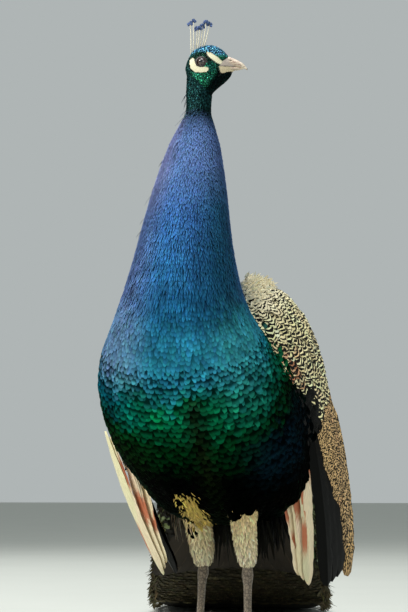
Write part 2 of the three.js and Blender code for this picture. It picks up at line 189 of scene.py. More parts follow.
class Dye:
    """One socket of a material's nodes: a sum on it adds a Math node, and node() adds any other."""

    def __init__(self, tree, socket=None):
        self.tree, self.socket = tree, socket

    def node(self, kind, settings, values, output=0):
        made = self.tree.nodes.new("ShaderNode" + kind)
        for name, setting in settings.items():
            if name == "stops":
                ramp = made.color_ramp.elements
                while len(ramp) < len(setting):
                    ramp.new(0.5)
                for stop, (place, colour) in zip(ramp, setting):
                    stop.position, stop.color = place, (*colour, 1)
            else:
                setattr(made, name, setting)
        for key, value in values.items():
            if isinstance(value, Dye):
                self.tree.links.new(value.socket, made.inputs[key])
            else:
                made.inputs[key].default_value = value
        return Dye(self.tree, made.outputs[output])

    def math(self, operation, *values):
        return self.node("Math", {"operation": operation}, dict(enumerate(values)))

    def __add__(self, other):
        return self.math("ADD", self, other)

    def __sub__(self, other):
        return self.math("SUBTRACT", self, other)

    def __rsub__(self, other):
        return self.math("SUBTRACT", other, self)

    def __mul__(self, other):
        return self.math("MULTIPLY", self, other)

    def __truediv__(self, other):
        return self.math("DIVIDE", self, other)

    def __pow__(self, other):
        return self.math("POWER", self, other)

    __radd__ = __add__
    __rmul__ = __mul__

    def away(self, middle=0.5):
        """How far the value is from its middle, from 0 to 1."""
        return self.math("ABSOLUTE", (self - middle) / middle)

    def step(self, low, high):
        """0 below low, 1 above high, and smooth between."""
        return self.node("MapRange", {"interpolation_type": "SMOOTHSTEP"},
                         {"Value": self, "From Min": low, "From Max": high})

    def sine(self):
        return self.math("SINE", self)

    def vector(self, operation, other):
        return self.node("VectorMath", {"operation": operation}, {0: self, 1: other})

    def length(self):
        return self.node("VectorMath", {"operation": "LENGTH"}, {0: self}, output=1)

    def lit(self, amount):
        """This colour made lighter or darker."""
        return self.node("VectorMath", {"operation": "SCALE"}, {0: self, "Scale": amount})

    def place(self):
        """The place on the piece, in its Object coordinates."""
        return self.node("TexCoord", {}, {}, output=3)

    def noise(self, scale=1.0, detail=4.0):
        """Noise in space at this place."""
        return self.node("TexNoise", {}, {"Vector": self, "Scale": scale, "Detail": detail})

    def streaks(self, across, along, detail=2.0, **inputs):
        """Noise over a vane, finer where across and along rise faster."""
        spot = self.node("CombineXYZ", {}, {0: across, 1: along})
        return self.node("TexNoise", {"noise_dimensions": "2D"},
                         {"Vector": spot, "Scale": 1.0, "Detail": detail, **inputs})

    def mixed(self, first, second):
        """A colour that goes from the first to the second as this value goes from 0 to 1."""
        return self.node("Mix", {"data_type": "RGBA"}, {0: self, 6: first, 7: second}, output=2)

    def bump(self, strength, depth):
        """A normal roughened by this height; depth in metres."""
        return self.node("Bump", {}, {"Strength": strength, "Distance": depth, "Height": self})

    def into(self, shader, name):
        self.tree.links.new(self.socket, shader.inputs[name])


def finish(name, **constants):
    """A new material with its constant sockets set: the material, its first dye and its shader."""
    made = bpy.data.materials.new(name)
    made.use_nodes = True
    shader = made.node_tree.nodes["Principled BSDF"]
    for socket, value in constants.items():
        shader.inputs[socket.replace("_", " ")].default_value = value
    return made, Dye(made.node_tree), shader


def ink(red, green, blue):
    """A colour named by its display values, 0 to 255, as linear light."""
    share = np.array((red, green, blue)) / 255
    return np.where(share <= 0.04045, share / 12.92, ((share + 0.055) / 1.055) ** 2.4)


def unit(vectors):
    return vectors / np.maximum(np.linalg.norm(vectors, axis=-1, keepdims=True), 1e-9)


def track(rows):
    """Rows of numbers, read at any shares of the way along by a smooth curve."""
    table = np.array(rows, float)
    last = len(table) - 1

    def read(share):
        place = np.clip(np.asarray(share, float), 0, 1) * last
        i = np.minimum(place.astype(int), last - 1)
        f = (place - i)[..., None]
        a, b, c, d = (table[np.clip(i + k, 0, last)] for k in (-1, 0, 1, 2))
        first, second = (c - a) / 2, (d - b) / 2
        square, cube = 3 * (c - b) - 2 * first - second, 2 * (b - c) + first + second
        return np.moveaxis(b + first * f + square * f**2 + cube * f**3, -1, 0)

    return read


spine_row = track(SPINE)


def body_point(share, angle):
    """A point of the body's surface: angle 0 is the breast, a quarter turn is the bird's left."""
    share = np.asarray(share, float)
    y, z, wide, front, back, lean = spine_row(share)
    y0, z0 = spine_row(np.maximum(share - 0.01, 0))[:2]
    y1, z1 = spine_row(np.minimum(share + 0.01, 1))[:2]
    across, up = np.sin(angle), np.cos(angle)
    power = 1 - 0.22 * smoothstep(share, 0.5, 0.8)
    deep = np.sign(up) * np.abs(up) ** power * np.where(up > 0, front, back)
    length = np.hypot(y1 - y0, z1 - z0)
    return np.stack([lean + np.sign(across) * np.abs(across) ** power * wide,
                     y + deep * (z1 - z0) / length, z - deep * (y1 - y0) / length], axis=-1)


GLANCE = 0.002  # how far ahead the spacing of rows looks, as a share of the form


def rows_round(point, start, stop, along, across, loose=0.25):
    """Roots in staggered rings down a form: shares and angles. along and across give the spacing, in
    millimetres, at a share, and loose how far each root may stray from its place."""
    turn = np.linspace(0, FULL_TURN, 241)
    shares, angles = [], []
    share, row = start, 0
    while share < stop:
        ring = point(np.full(turn.shape, share), turn)
        ahead = point(np.full(turn.shape, share + GLANCE), turn)
        walked = np.concatenate([[0], np.cumsum(np.linalg.norm(np.diff(ring, axis=0), axis=1))])
        count = max(5, round(walked[-1] / across(share)))
        places = (np.arange(count) + 0.5 * (row % 2) + rng.uniform(-loose, loose, count)) / count
        angles.append(np.interp((places % 1) * walked[-1], walked, turn))
        pace = np.linalg.norm(ahead - ring, axis=1).mean() / GLANCE
        wander = rng.uniform(-loose, loose, count) * along(share) / pace
        shares.append(np.clip(share + wander, 0.001, 0.999))
        share += along(share) / pace
        row += 1
    return np.concatenate(shares), np.concatenate(angles)


def lie_of(point, share, angle):
    """The way down a form at its roots."""
    return unit(point(np.minimum(share + 0.004, 1), angle) - point(share - 0.004, angle))


def turned(vectors, axes, angle):
    """Vectors turned about unit axes that they are square to."""
    return vectors * np.cos(angle)[:, None] + np.cross(axes, vectors) * np.sin(angle)[:, None]


def only(kept, *values):
    """The chosen entries of each value."""
    return [value[kept] for value in values]


def lay(points, lies, length, lift, splay=0.1):
    """Centre lines of feathers that grow at points and lie along the hide: each one's root, middle,
    tip and two normals, and which of the points were kept."""
    places, normals, height = on_skin(points)
    kept = height > SUNK
    places, normals, lies = only(kept, places, normals, lies)
    lies = unit(lies - normals * np.sum(lies * normals, axis=1, keepdims=True))
    lies = turned(lies, normals, rng.normal(0, splay, len(lies)))
    length, lift = (np.broadcast_to(value, kept.shape)[kept][:, None] for value in (length, lift))
    ends, end_normals, _ = on_skin(places + lies * length)
    tips = ends + end_normals * lift
    halfway, half_normals, _ = on_skin((places + tips) / 2)
    roots = places - normals * 0.4
    middles = halfway + half_normals * lift * 0.6
    return [roots, middles, tips, normals, end_normals], kept


def bake_places(across, up, margin=0.01):
    """Each feather's place on the bake map, which is the unwrapped form that it grows on."""
    return np.stack([across, up], axis=-1) * (1 - 2 * margin) + margin


def vanes(name, lines, width, shades, patches, outline, section=PLAIN, thick=0.25, camber=0.1, ragged=0,
          patch=(BAKE_PATCH, BAKE_PATCH)):
    """A mesh of many closed feathers. Each runs from its root through its middle to its tip, all in
    millimetres of the drawing; its vane map holds across and along, and its bake map one patch."""
    roots, middles, tips, root_ups, tip_ups = (np.asarray(value, float) for value in lines)
    count, rows, columns = len(roots), len(outline), len(section)
    width, thick = (np.broadcast_to(value, count).astype(float) for value in (width, thick))
    t = np.array([place for place, _ in outline])[None, :, None]
    swell = np.array([wide for _, wide in outline])[None, :, None]
    bend = 2 * middles - (roots + tips) / 2
    a, b, c = roots[:, None], bend[:, None], tips[:, None]
    centre = (1 - t) ** 2 * a + 2 * t * (1 - t) * b + t**2 * c
    forward = unit((1 - t) * (b - a) + t * (c - b))
    up = unit((1 - t) * root_ups[:, None] + t * tip_ups[:, None])
    side = unit(np.cross(forward, up))
    up = np.cross(side, forward)
    across = np.array([place for place, _ in section])
    ridge = np.array([high for _, high in section])
    reach = np.broadcast_to(across, (count, rows, columns)).copy()
    if ragged:
        torn = 1 - ragged * rng.random((count, rows, 2)) ** 3
        reach[:, :, 0] *= torn[:, :, 0]
        reach[:, :, -1] *= torn[:, :, 1]
    half = (width[:, None, None] / 2) * swell
    sideways = half * reach
    upwards = thick[:, None, None] * ridge * np.sqrt(swell) - camber * half * across**2
    grid = centre[:, :, None] + side[:, :, None] * sideways[..., None]
    grid = grid + up[:, :, None] * upwards[..., None]
    points = np.concatenate([grid.reshape(count, rows * columns, 3), tips[:, None]], axis=1)
    per = rows * columns + 1
    tip = rows * columns
    faces = []
    for row in range(rows - 1):
        here, beyond = row * columns, (row + 1) * columns
        faces += [(here + k, here + k + 1, beyond + k + 1, beyond + k) for k in range(columns - 1)]
        faces.append((here, beyond, beyond + columns - 1, here + columns - 1))
    end = (rows - 1) * columns
    faces += [(end + k, end + k + 1, tip) for k in range(columns - 1)]
    faces += [(end + columns - 1, end, tip), (0, *range(columns - 1, 0, -1))]
    loops = np.concatenate([np.array(face) for face in faces])
    starts = np.cumsum([0] + [len(face) for face in faces[:-1]])
    all_loops = (loops[None] + np.arange(count)[:, None] * per).ravel()
    all_starts = (starts[None] + np.arange(count)[:, None] * len(loops)).ravel()
    mesh = bpy.data.meshes.new(name)
    mesh.vertices.add(count * per)
    mesh.vertices.foreach_set("co", placed(points.reshape(-1, 3)).ravel())
    mesh.loops.add(len(all_loops))
    mesh.loops.foreach_set("vertex_index", all_loops)
    mesh.polygons.add(len(all_starts))
    mesh.polygons.foreach_set("loop_start", all_starts)
    mesh.update(calc_edges=True)
    vane = np.stack(np.broadcast_arrays((across + 1) / 2, t[0]), axis=-1).reshape(-1, 2)
    vane = np.tile(np.concatenate([vane, [[0.5, 1]]])[loops], (count, 1))
    baked = np.repeat(np.asarray(patches, float), len(loops), axis=0) + (vane - 0.5) * np.array(patch)
    mesh.uv_layers.new(name="Vane").uv.foreach_set("vector", vane.ravel())
    mesh.uv_layers.new(name="OFBake").uv.foreach_set("vector", baked.ravel())
    shades = np.concatenate([np.asarray(shades, float), rng.random((count, 1))], axis=1)
    colours = mesh.attributes.new("Shade", "FLOAT_COLOR", "POINT")
    colours.data.foreach_set("color", np.repeat(shades, per, axis=0).ravel())
    edge = np.zeros(len(mesh.edges) * 2, int)
    mesh.edges.foreach_get("vertices", edge)
    edge = edge.reshape(-1, 2) % per
    rim = (edge % columns == 0) | (edge % columns == columns - 1) | (edge == tip)
    mesh.attributes.new("sharp_edge", "BOOLEAN", "EDGE").data.foreach_set("value", rim.all(axis=1))
    return mesh


def vane_maps(dye):
    """The shade of each feather and its chance number, and the place across and along its vane."""
    shade = dye.node("Attribute", {"attribute_name": "Shade"}, {})
    chance = dye.node("Attribute", {"attribute_name": "Shade"}, {}, output=3)
    across, along = (dye.node("SeparateXYZ", {}, {0: dye.node("UVMap", {"uv_map": "Vane"}, {})}, output=axis)
                     for axis in (0, 1))
    return shade, chance, across, along


def feather_finish(name, metallic, roughness, root=(0.1, 0.6), painted_root_shade=0.4, dark_rim=0.3, sheen=0.2,
                   sheen_tint=(0.5, 0.6, 0.8), barbs=26, spread=0.4, shaft=0.0, gloss=0.25, edge=(1, 1, 1)):
    """Plumage: each feather's own shade with combed barbs, darker at its thin rim, and darker towards its root as
    painted shade.
    """
    made, dye, shader = finish(name, Metallic=metallic, Sheen_Weight=sheen, Sheen_Roughness=0.35,
                               Sheen_Tint=(*sheen_tint, 1), Specular_IOR_Level=gloss, Specular_Tint=(*edge, 1))
    shade, chance, across, along = vane_maps(dye)
    out = across.away()
    grain = dye.streaks(across * 3 + chance * 50, (along - out * 0.2) * barbs)
    rim = out.step(0.6, 1.0) * along.step(0.55, 0.9) + along.step(0.93, 1.0)
    # Painted shade: each vane darkens towards its root, as if under the feather before it; root gives where along
    # the vane it fades out.
    bright = along.step(*root) * (1 - painted_root_shade) + painted_root_shade
    bright = bright * (1 - rim.math("MINIMUM", rim, 1.0) * dark_rim) * (1 - spread / 2 + grain * spread)
    colour = shade.lit(bright)
    if shaft:
        colour = (1 - out.step(shaft * 0.5, shaft)).mixed(colour, shade.lit(2.2))
    colour.into(shader, "Base Color")
    (grain * 0.2 + (roughness - 0.1)).into(shader, "Roughness")
    ((along - out * 0.16) * (barbs * 6.28)).sine().bump(0.25, 0.0003).into(shader, "Normal")
    return made


def scattered(shades, amount, tint=0.0):
    """The shades, each feather a little lighter or darker, and a little off in hue."""
    count = len(shades)
    bright = np.exp(rng.normal(0, amount, (count, 1)))
    return np.clip(shades * bright * np.exp(rng.normal(0, tint, (count, 3))), 0, 1)


def drift(points, size):
    """A smooth random wave over the body, about -1 to 1, with ripples of about this size."""
    ways = unit(rng.normal(0, 1, (9, 3))) * (FULL_TURN / size) * rng.uniform(0.6, 1.5, (9, 1))
    return np.sin(points @ ways.T + rng.uniform(0, FULL_TURN, 9)).sum(axis=1) / 3


def graded(value, stops):
    """Colours read off a list of (value, colour), mixed smoothly between."""
    places = np.array([place for place, _ in stops], float)
    colours = np.array([colour for _, colour in stops])
    return np.stack([np.interp(value, places, colours[:, k]) for k in range(3)], axis=-1)


THROAT_BLACK = ink(8, 28, 28)
NECK_PALE = ink(84, 112, 158)
NECK_BLUE = ink(48, 94, 148)
COLLAR_BLUE = ink(34, 108, 156)
BREAST_TEAL = ink(44, 140, 172)
BREAST_GREEN = ink(8, 114, 76)
BREAST_DARK = ink(4, 56, 28)
# The belly's black feathers, darkened further as painted shade, since the underside gets little light.
BELLY_BLACK_AND_SHADE = ink(2, 4, 2)
VIOLET_SHEEN = ink(136, 144, 190)
VIOLET_BLUE = ink(86, 110, 156)
FLANK_SHEEN = ink(118, 156, 196)
FLANK_TEAL = ink(24, 116, 142)
FLANK_BROWN = ink(34, 54, 28)
SIDE_TEAL = ink(28, 84, 112)
SIDE_SHEEN = ink(60, 158, 172)
SIDE_GREEN = ink(28, 116, 100)
SIDE_INK_SHEEN = ink(14, 34, 46)
BACK_BRONZE = ink(56, 74, 36)
BACK_COPPER = ink(110, 76, 36)
# Painted shade in the crease down the middle of the breast.
CREASE_SHADE = ink(22, 30, 14)
# The colours at shares down the body, along its breast, its two flanks and its back, the flanks with painted
# light.
FRONT = [(0.1, THROAT_BLACK), (0.18, NECK_PALE), (0.23, NECK_PALE), (0.35, NECK_BLUE), (0.47, COLLAR_BLUE),
         (0.53, BREAST_TEAL), (0.555, BREAST_TEAL), (0.585, BREAST_GREEN), (0.607, BREAST_GREEN),
         (0.64, BREAST_DARK), (0.69, BELLY_BLACK_AND_SHADE)]
# Painted light on the right flank, which faces the light: paler, with a violet sheen.
RIGHT_FLANK_LIT = [(0.1, THROAT_BLACK), (0.16, VIOLET_SHEEN), (0.25, VIOLET_SHEEN), (0.36, VIOLET_BLUE),
               (0.46, VIOLET_BLUE), (0.5, FLANK_SHEEN), (0.56, FLANK_SHEEN), (0.59, FLANK_TEAL),
               (0.63, BREAST_DARK), (0.66, FLANK_BROWN), (0.72, BELLY_BLACK_AND_SHADE)]
# Painted shade on the left flank: teal and darker, with a band of painted teal sheen and a painted dark blue
# sheen low down.
LEFT_FLANK_SHADED = [(0.1, THROAT_BLACK), (0.17, NECK_PALE), (0.23, NECK_PALE), (0.33, SIDE_TEAL), (0.47, SIDE_TEAL),
              (0.51, SIDE_SHEEN), (0.56, SIDE_SHEEN), (0.605, SIDE_GREEN), (0.635, BREAST_DARK),
              (0.66, SIDE_INK_SHEEN), (0.7, SIDE_INK_SHEEN), (0.75, BELLY_BLACK_AND_SHADE)]
DORSAL = [(0.07, THROAT_BLACK), (0.15, NECK_BLUE), (0.42, NECK_BLUE), (0.48, SIDE_TEAL), (0.52, BACK_BRONZE),
          (0.75, BACK_BRONZE), (0.9, BACK_COPPER)]
BARE_TOP = 248, 236  # heights over which the down of the right thigh fades in on the belly
BARE_MIDDLE, BARE_WIDE = -26, (18, 12)


def thigh_bare(points):
    """Where the down of the right thigh runs up over the belly, from 0 to 1."""
    x, y, z = points.T
    return smoothstep(z, *BARE_TOP) * smoothstep(np.abs(x - BARE_MIDDLE), *BARE_WIDE) * (y < 150)


def body_shade(share, angle, points):
    """The colour of the body's coat, with painted light: a pale violet sheen on the bird's right flank, and
    painted shade, teal and darker, on its left.
    """
    ventral = smoothstep(np.cos(angle), -0.75, -0.2)[:, None]
    side = smoothstep(np.cos(angle), -0.45, 0.2)
    # How far a root lies on the lit right flank, and on the shaded left one.
    right = (smoothstep(-np.sin(angle), 0.15, 0.95) * side)[:, None]
    left = (smoothstep(np.sin(angle), 0.3, 0.95) * side)[:, None]
    share = share + drift(points, 90) * 0.006 + rng.normal(0, 0.004, len(share))
    front = graded(share, FRONT) * (1 - right - left) + graded(share, RIGHT_FLANK_LIT) * right
    front = front + graded(share, LEFT_FLANK_SHADED) * left
    # Painted shade down the breast's middle crease.
    crease_shade = (np.exp(-(((points[:, 0] - 14) / 13) ** 2)) * smoothstep(share, 0.575, 0.6) * 0.9)[:, None]
    return blend(graded(share, DORSAL), blend(front, CREASE_SHADE, crease_shade), ventral)


VELVET = dict(root=(0.45, 0.85), painted_root_shade=0.12, dark_rim=0.4, sheen=0, barbs=8, edge=(0.3, 0.5, 0.5))
nape_finish = feather_finish("nape feathers", 0.8, 0.38, **VELVET)
blue_finish = feather_finish("neck feathers", 0.75, 0.52, root=(0.5, 0.85), painted_root_shade=0.55, dark_rim=0.1,
                             sheen=0.15, sheen_tint=(0.4, 0.5, 1.0), barbs=14, spread=0.4, edge=(0.4, 0.5, 0.9))
collar_finish = feather_finish("collar feathers", 0.8, 0.5, root=(0.55, 0.9), painted_root_shade=0.5, dark_rim=0.2,
                               sheen=0.1, sheen_tint=(0.3, 0.6, 1.0), barbs=18, spread=0.6, edge=(0.2, 0.5, 0.6))
green_finish = feather_finish("breast feathers", 0.92, 0.42, root=(0.6, 0.86), painted_root_shade=0.13, dark_rim=0.5,
                              sheen=0, barbs=20, spread=0.6, gloss=0.05, edge=(0.1, 0.35, 0.25))
# The feathers' sizes in millimetres, at these shares of the way down the body.
MARKS = [0.02, 0.12, 0.4, 0.5, 0.55, 0.6, 0.7, 0.8, 1]
ROW_GAP = [2.8, 3.6, 4.0, 4.4, 5.4, 6.6, 7.5, 8, 11]
SIDE_GAP = [1.7, 2.0, 2.2, 3.2, 5.6, 10, 12, 12, 14]
LONG = [8, 11, 13, 17, 21, 25, 28, 32, 34]
WIDE = [2.2, 2.5, 2.7, 4.4, 8, 15, 18, 18, 20]
LIFT = [1.3, 1.8, 2.2, 2.4, 3.0, 3.8, 4.2, 4.5, 5]
PARTS = {  # from which share to which, slot, finish, outline, how loose its rows are, how uneven its shades
    "plumage_nape": (0.02, 0.13, "blue_plumage", nape_finish, SCALE, 0.25, 0.5),
    "plumage_neck_upper": (0.13, 0.33, "blue_plumage", blue_finish, LANCET, 0.25, 0.1),
    "plumage_neck_lower": (0.33, 0.48, "blue_plumage", blue_finish, LANCET, 0.25, 0.1),
    "plumage_collar": (0.48, 0.55, "blue_plumage", collar_finish, SCALE, 0.2, 0.15),
    "plumage_breast": (0.55, 0.68, "green_plumage", green_finish, SCALE, 0.14, 0.3),
    "plumage_belly_and_back": (0.68, 0.985, "green_plumage", green_finish, SCALE, 0.14, 0.2),
}
for name, (start, stop, slot_name, material, outline, loose, uneven) in PARTS.items():
    share, angle = rows_round(body_point, start, stop, lambda s: np.interp(s, MARKS, ROW_GAP),
                              lambda s: np.interp(s, MARKS, SIDE_GAP), loose=loose)
    points = body_point(share, angle)
    long = np.interp(share, MARKS, LONG) * rng.uniform(0.88, 1.12, len(share))
    lift = np.interp(share, MARKS, LIFT) * rng.uniform(0.75, 1.2, len(share))
    lines, kept = lay(points, lie_of(body_point, share, angle), long, lift, splay=0.08)
    share, angle, points = only(kept, share, angle, points)
    bent = (np.sum(lines[3] * lines[4], axis=1) < 0.8) & (points[:, 0] > 60)  # into the left wing
    keep = (thigh_bare(points) < rng.uniform(0.2, 0.8, len(points))) & ~bent
    share, angle, points, *lines = only(keep, share, angle, points, *lines)
    wide = np.interp(share, MARKS, WIDE)
    shade = body_shade(share, angle, points)
    coat_roots.append(points)
    coat_shades.append(shade)
    # Uneven tone in smooth ripples, with painted sheen highlights, stronger down the lower neck.
    low_neck_sheen = smoothstep(share, 0.36, 0.46) * smoothstep(share, 0.62, 0.58)
    ripple_and_sheen = np.exp(drift(points, 60) * 0.08 + drift(points, 30) * (0.06 + 0.14 * low_neck_sheen))[:, None]
    shade = scattered(shade * ripple_and_sheen * (1 + 1.8 * smoothstep(share, 0.11, 0.08))[:, None], uneven, 0.05)
    patches = bake_places(angle / FULL_TURN, share)
    mesh = vanes(name, lines, wide, shade, patches, outline, thick=wide * 0.09)
    piece_of(mesh, name, slot_name, material)

# ---------------------------------------------------------------- nape wisps
# Loose hair-like feathers, dark blue, that stand off the back of the neck. They root in the hide
# among the lancets, each a single thin barb.
WISP_COUNT = 260
WISP_BLUE = ink(18, 30, 52)
share = rng.uniform(0.06, 0.36, WISP_COUNT)
angle = rng.normal(math.pi + 0.9, 0.45, WISP_COUNT)
lines, kept = lay(body_point(share, angle), lie_of(body_point, share, angle), rng.uniform(12, 26, WISP_COUNT),
                  rng.uniform(2.5, 9, WISP_COUNT), splay=0.12)
share, angle = only(kept, share, angle)
shade = scattered(np.tile(WISP_BLUE, (len(share), 1)), 0.3, 0.1)
mesh = vanes("nape_wisps", lines, 1.5, shade, bake_places(angle / FULL_TURN % 1, share), LANCET, thick=0.3)
piece_of(mesh, "nape_wisps", "blue_plumage", blue_finish)

# ---------------------------------------------------------------- flank and vent plumes
# Long loose plumes that hang from the rear of the belly, behind and beside the thighs: nearly black
# between the legs, and brown at the flanks.
PLUME_BLACK = ink(16, 15, 8)
PLUME_BROWN = ink(78, 68, 44)
PLUME_PALE = ink(180, 172, 150)
PLUME_COUNT = 2600
PLUME_LONG = 26, 70
share = rng.uniform(0.72, 0.965, PLUME_COUNT)
angle = rng.uniform(-2.2, 2.2, PLUME_COUNT)
points, normals, height = on_skin(body_point(share, angle))
behind = points[:, 1] > np.where(points[:, 0] > 0, 84, 150)  # the left leg stands further forward
kept = (height > SUNK) & (height < 6) & behind & (points[:, 2] < 330) & (points[:, 0] < 92)
points, normals, share, angle = only(kept, points, normals, share, angle)
long = rng.uniform(*PLUME_LONG, len(points))[:, None]
tips = points + unit(np.array([0, 0.3, -1.0]) + rng.normal(0, 0.12, points.shape)) * long + normals * 5
middles = (points + tips) / 2 + normals * 5
brown = (smoothstep(-points[:, 0], 40, 85) * rng.uniform(0.3, 1, len(points)))[:, None]
patches = bake_places(angle / FULL_TURN, share)
pale = smoothstep(-points[:, 0], 44, 62) * smoothstep(points[:, 2], 262, 236)
pale = (pale * (rng.random(len(points)) < 0.7))[:, None]
shade = blend(blend(PLUME_BLACK, PLUME_BROWN, brown), PLUME_PALE, pale)
plume_finish = feather_finish("plumes", 0, 0.75, painted_root_shade=0.7, dark_rim=0.1, sheen=0.05, barbs=12, gloss=0.1)
mesh = vanes("plumes_flank_and_vent", [points - normals, middles, tips, normals, normals], 3.6,
             scattered(shade, 0.3, 0.05), patches, LANCET, thick=0.4)
piece_of(mesh, "plumes_flank_and_vent", "black_feathers", plume_finish)

# ---------------------------------------------------------------- head feathers
# Tiny crimped feathers, tight as velvet: curly metallic blue on the crown, green on the cheeks and
# nearly black on the throat and round the eye. They leave bare the two pale patches of the face.
SKULL = [  # x, z, height above, height below, half width, about the head's own middle plane
    [-20, 857, 4, 5, 4], [-16.5, 858, 13, 14, 10], [-8, 860, 24.5, 28, 15], [4, 861, 29.5, 42, 18],
    [18, 861, 31, 44, 18.5], [30, 861, 27.5, 34, 15.5], [40, 861, 19, 27, 11.5], [47, 859, 12.5, 18, 8],
    [51, 856, 4, 9, 4],
]
HEAD_Y = -35
EYE_X, EYE_Z = 8, 864
JAW_Z = 838  # the face lies above this height
FACE_OUT = 5  # and at least this far from the head's middle plane
# Outlines on the side of the head, as x and z: the two pale patches, and the skin under the bill.
BROW_PATCH = [(14.5, 879), (20, 878.5), (27, 873.5), (34, 868), (40, 862), (37, 859.5), (31, 861.5),
              (24, 866.5), (18, 872.5)]
CHEEK_PATCH = [(-12, 868), (-8, 872), (-4, 870), (-2, 864), (2, 859), (9, 856), (15, 856.5), (19, 854),
               (17.5, 849), (9, 848), (-2, 849.5), (-10, 857)]
BILL_SKIN = [(47, 872), (60, 875), (60, 846), (52, 850.5), (36, 847), (33, 856), (39, 865)]
CROWN_BLUE = ink(76, 130, 160)
CHEEK_GREEN = ink(34, 104, 80)
LORES_TEAL = ink(30, 96, 92)
EYE_BAND = ink(12, 18, 14)
NAPE_DARK = ink(26, 40, 48)
skull_row = track(SKULL)


def head_point(share, angle):
    """A point of the head's surface: share 0 is the nape and 1 the bill, angle 0 is the crown."""
    x, z, above, below, wide = skull_row(share)
    up = np.cos(angle)
    return np.stack([x, HEAD_Y + np.sin(angle) * wide, z + up * np.where(up > 0, above, below)], axis=-1)


def within(outline, x, z):
    """Which points lie inside an outline drawn on the head's side."""
    inside = np.zeros(len(x), bool)
    for (x0, z0), (x1, z1) in zip(outline, outline[1:] + outline[:1]):
        if z0 != z1:
            inside ^= ((z0 > z) != (z1 > z)) & (x < (x1 - x0) * (z - z0) / (z1 - z0) + x0)
    return inside


def oval_eye(x, z, long, high):
    """Which places on the side of the head lie within an oval about the eye."""
    return ((x - EYE_X) / long) ** 2 + ((z - EYE_Z) / high) ** 2 < 1


def pale_face(points):
    """Which points of the head lie in its two pale patches."""
    x, y, z = points.T
    patches = within(BROW_PATCH, x, z) | within(CHEEK_PATCH, x, z)
    return (z > JAW_Z) & (np.abs(y - HEAD_Y) > FACE_OUT) & patches


def bare(points):
    """Which points of the head grow no feathers: the pale patches, the eye and the bill."""
    x, y, z = points.T
    eye = (np.abs(y - HEAD_Y) > FACE_OUT) & oval_eye(x, z, 8.2, 7.2)
    return pale_face(points) | (z > JAW_Z) & (eye | within(BILL_SKIN, x, z))


def head_shade(points):
    """The colour of the head's coat, from its crown and cheeks down to the throat."""
    x, y, z = points.T
    forward = smoothstep(x, 18, 28)
    crown = smoothstep(z, 876 - 5 * forward, 882 - 6 * forward)
    throat = smoothstep(x * 0.8 - (z - 845) * 0.6, 18, 26) * (1 - crown)
    nape = smoothstep(x, 0, -10) * (1 - crown)
    band = np.exp(-(((np.hypot((x - EYE_X) / 1.15, z - EYE_Z) - 11.5) / 6) ** 4)) * smoothstep(z, 859, 864)
    lores = np.exp(-(((x - 25) / 6) ** 2) - ((z - 857) / 6) ** 2)
    shade = CHEEK_GREEN
    for colour, amount in ((CROWN_BLUE, crown), (NAPE_DARK, nape * 0.8), (THROAT_BLACK * 0.4, throat),
                           (THROAT_BLACK, smoothstep(z, 832, 808) * 0.6), (EYE_BAND, band * 0.9),
                           (LORES_TEAL, lores * 0.8)):
        shade = blend(shade, colour, amount[:, None])
    return shade


share, angle = rows_round(head_point, 0.03, 0.985, lambda s: 1.9, lambda s: 1.75)
points = head_point(share, angle)
share, angle, points = only(~bare(points), share, angle, points)
down = -0.15 - smoothstep(points[:, 2], 862, 832) * 1.6 - smoothstep(points[:, 0], 2, -14) * 1.5
flow = np.stack([-np.ones(len(points)), np.zeros(len(points)), down], axis=-1)
crown = smoothstep(points[:, 2], 872, 880)
long = rng.uniform(3.6, 5.4, len(points)) - crown
lines, kept = lay(points, flow, long, 0.7 + crown * rng.uniform(0, 1.2, len(points)), splay=0.22)
clear = ~(bare(lines[2]) | bare(lines[1]))
share, angle, points = only(clear, *only(kept, share, angle, points))
lines = only(clear, *lines)
shade = head_shade(points)
coat_roots.append(points)
coat_shades.append(shade)
patches = bake_places(angle / FULL_TURN, share)
head_finish = feather_finish("head feathers", 0.8, 0.38, **VELVET)
mesh = vanes("plumage_head", lines, 2.3, scattered(shade, 0.62, 0.12), patches, SCALE, thick=0.3)
piece_of(mesh, "plumage_head", "green_plumage", head_finish)

# ---------------------------------------------------------------- thigh down
# Soft buff down over each thigh, from the belly to the hock, thick as fur and palest at its foot, its top painted
# olive as shade under the belly.
# Each tuft roots in the skin of the thigh, and the right thigh's runs up over the belly.
HOCK_Z = 131
LEGS = {"left": (48, 76), "right": (-38, 158)}  # how far each leg stands to the side, and its hock's y
BUFF = ink(244, 216, 160)
BUFF_GREY = ink(240, 224, 188)
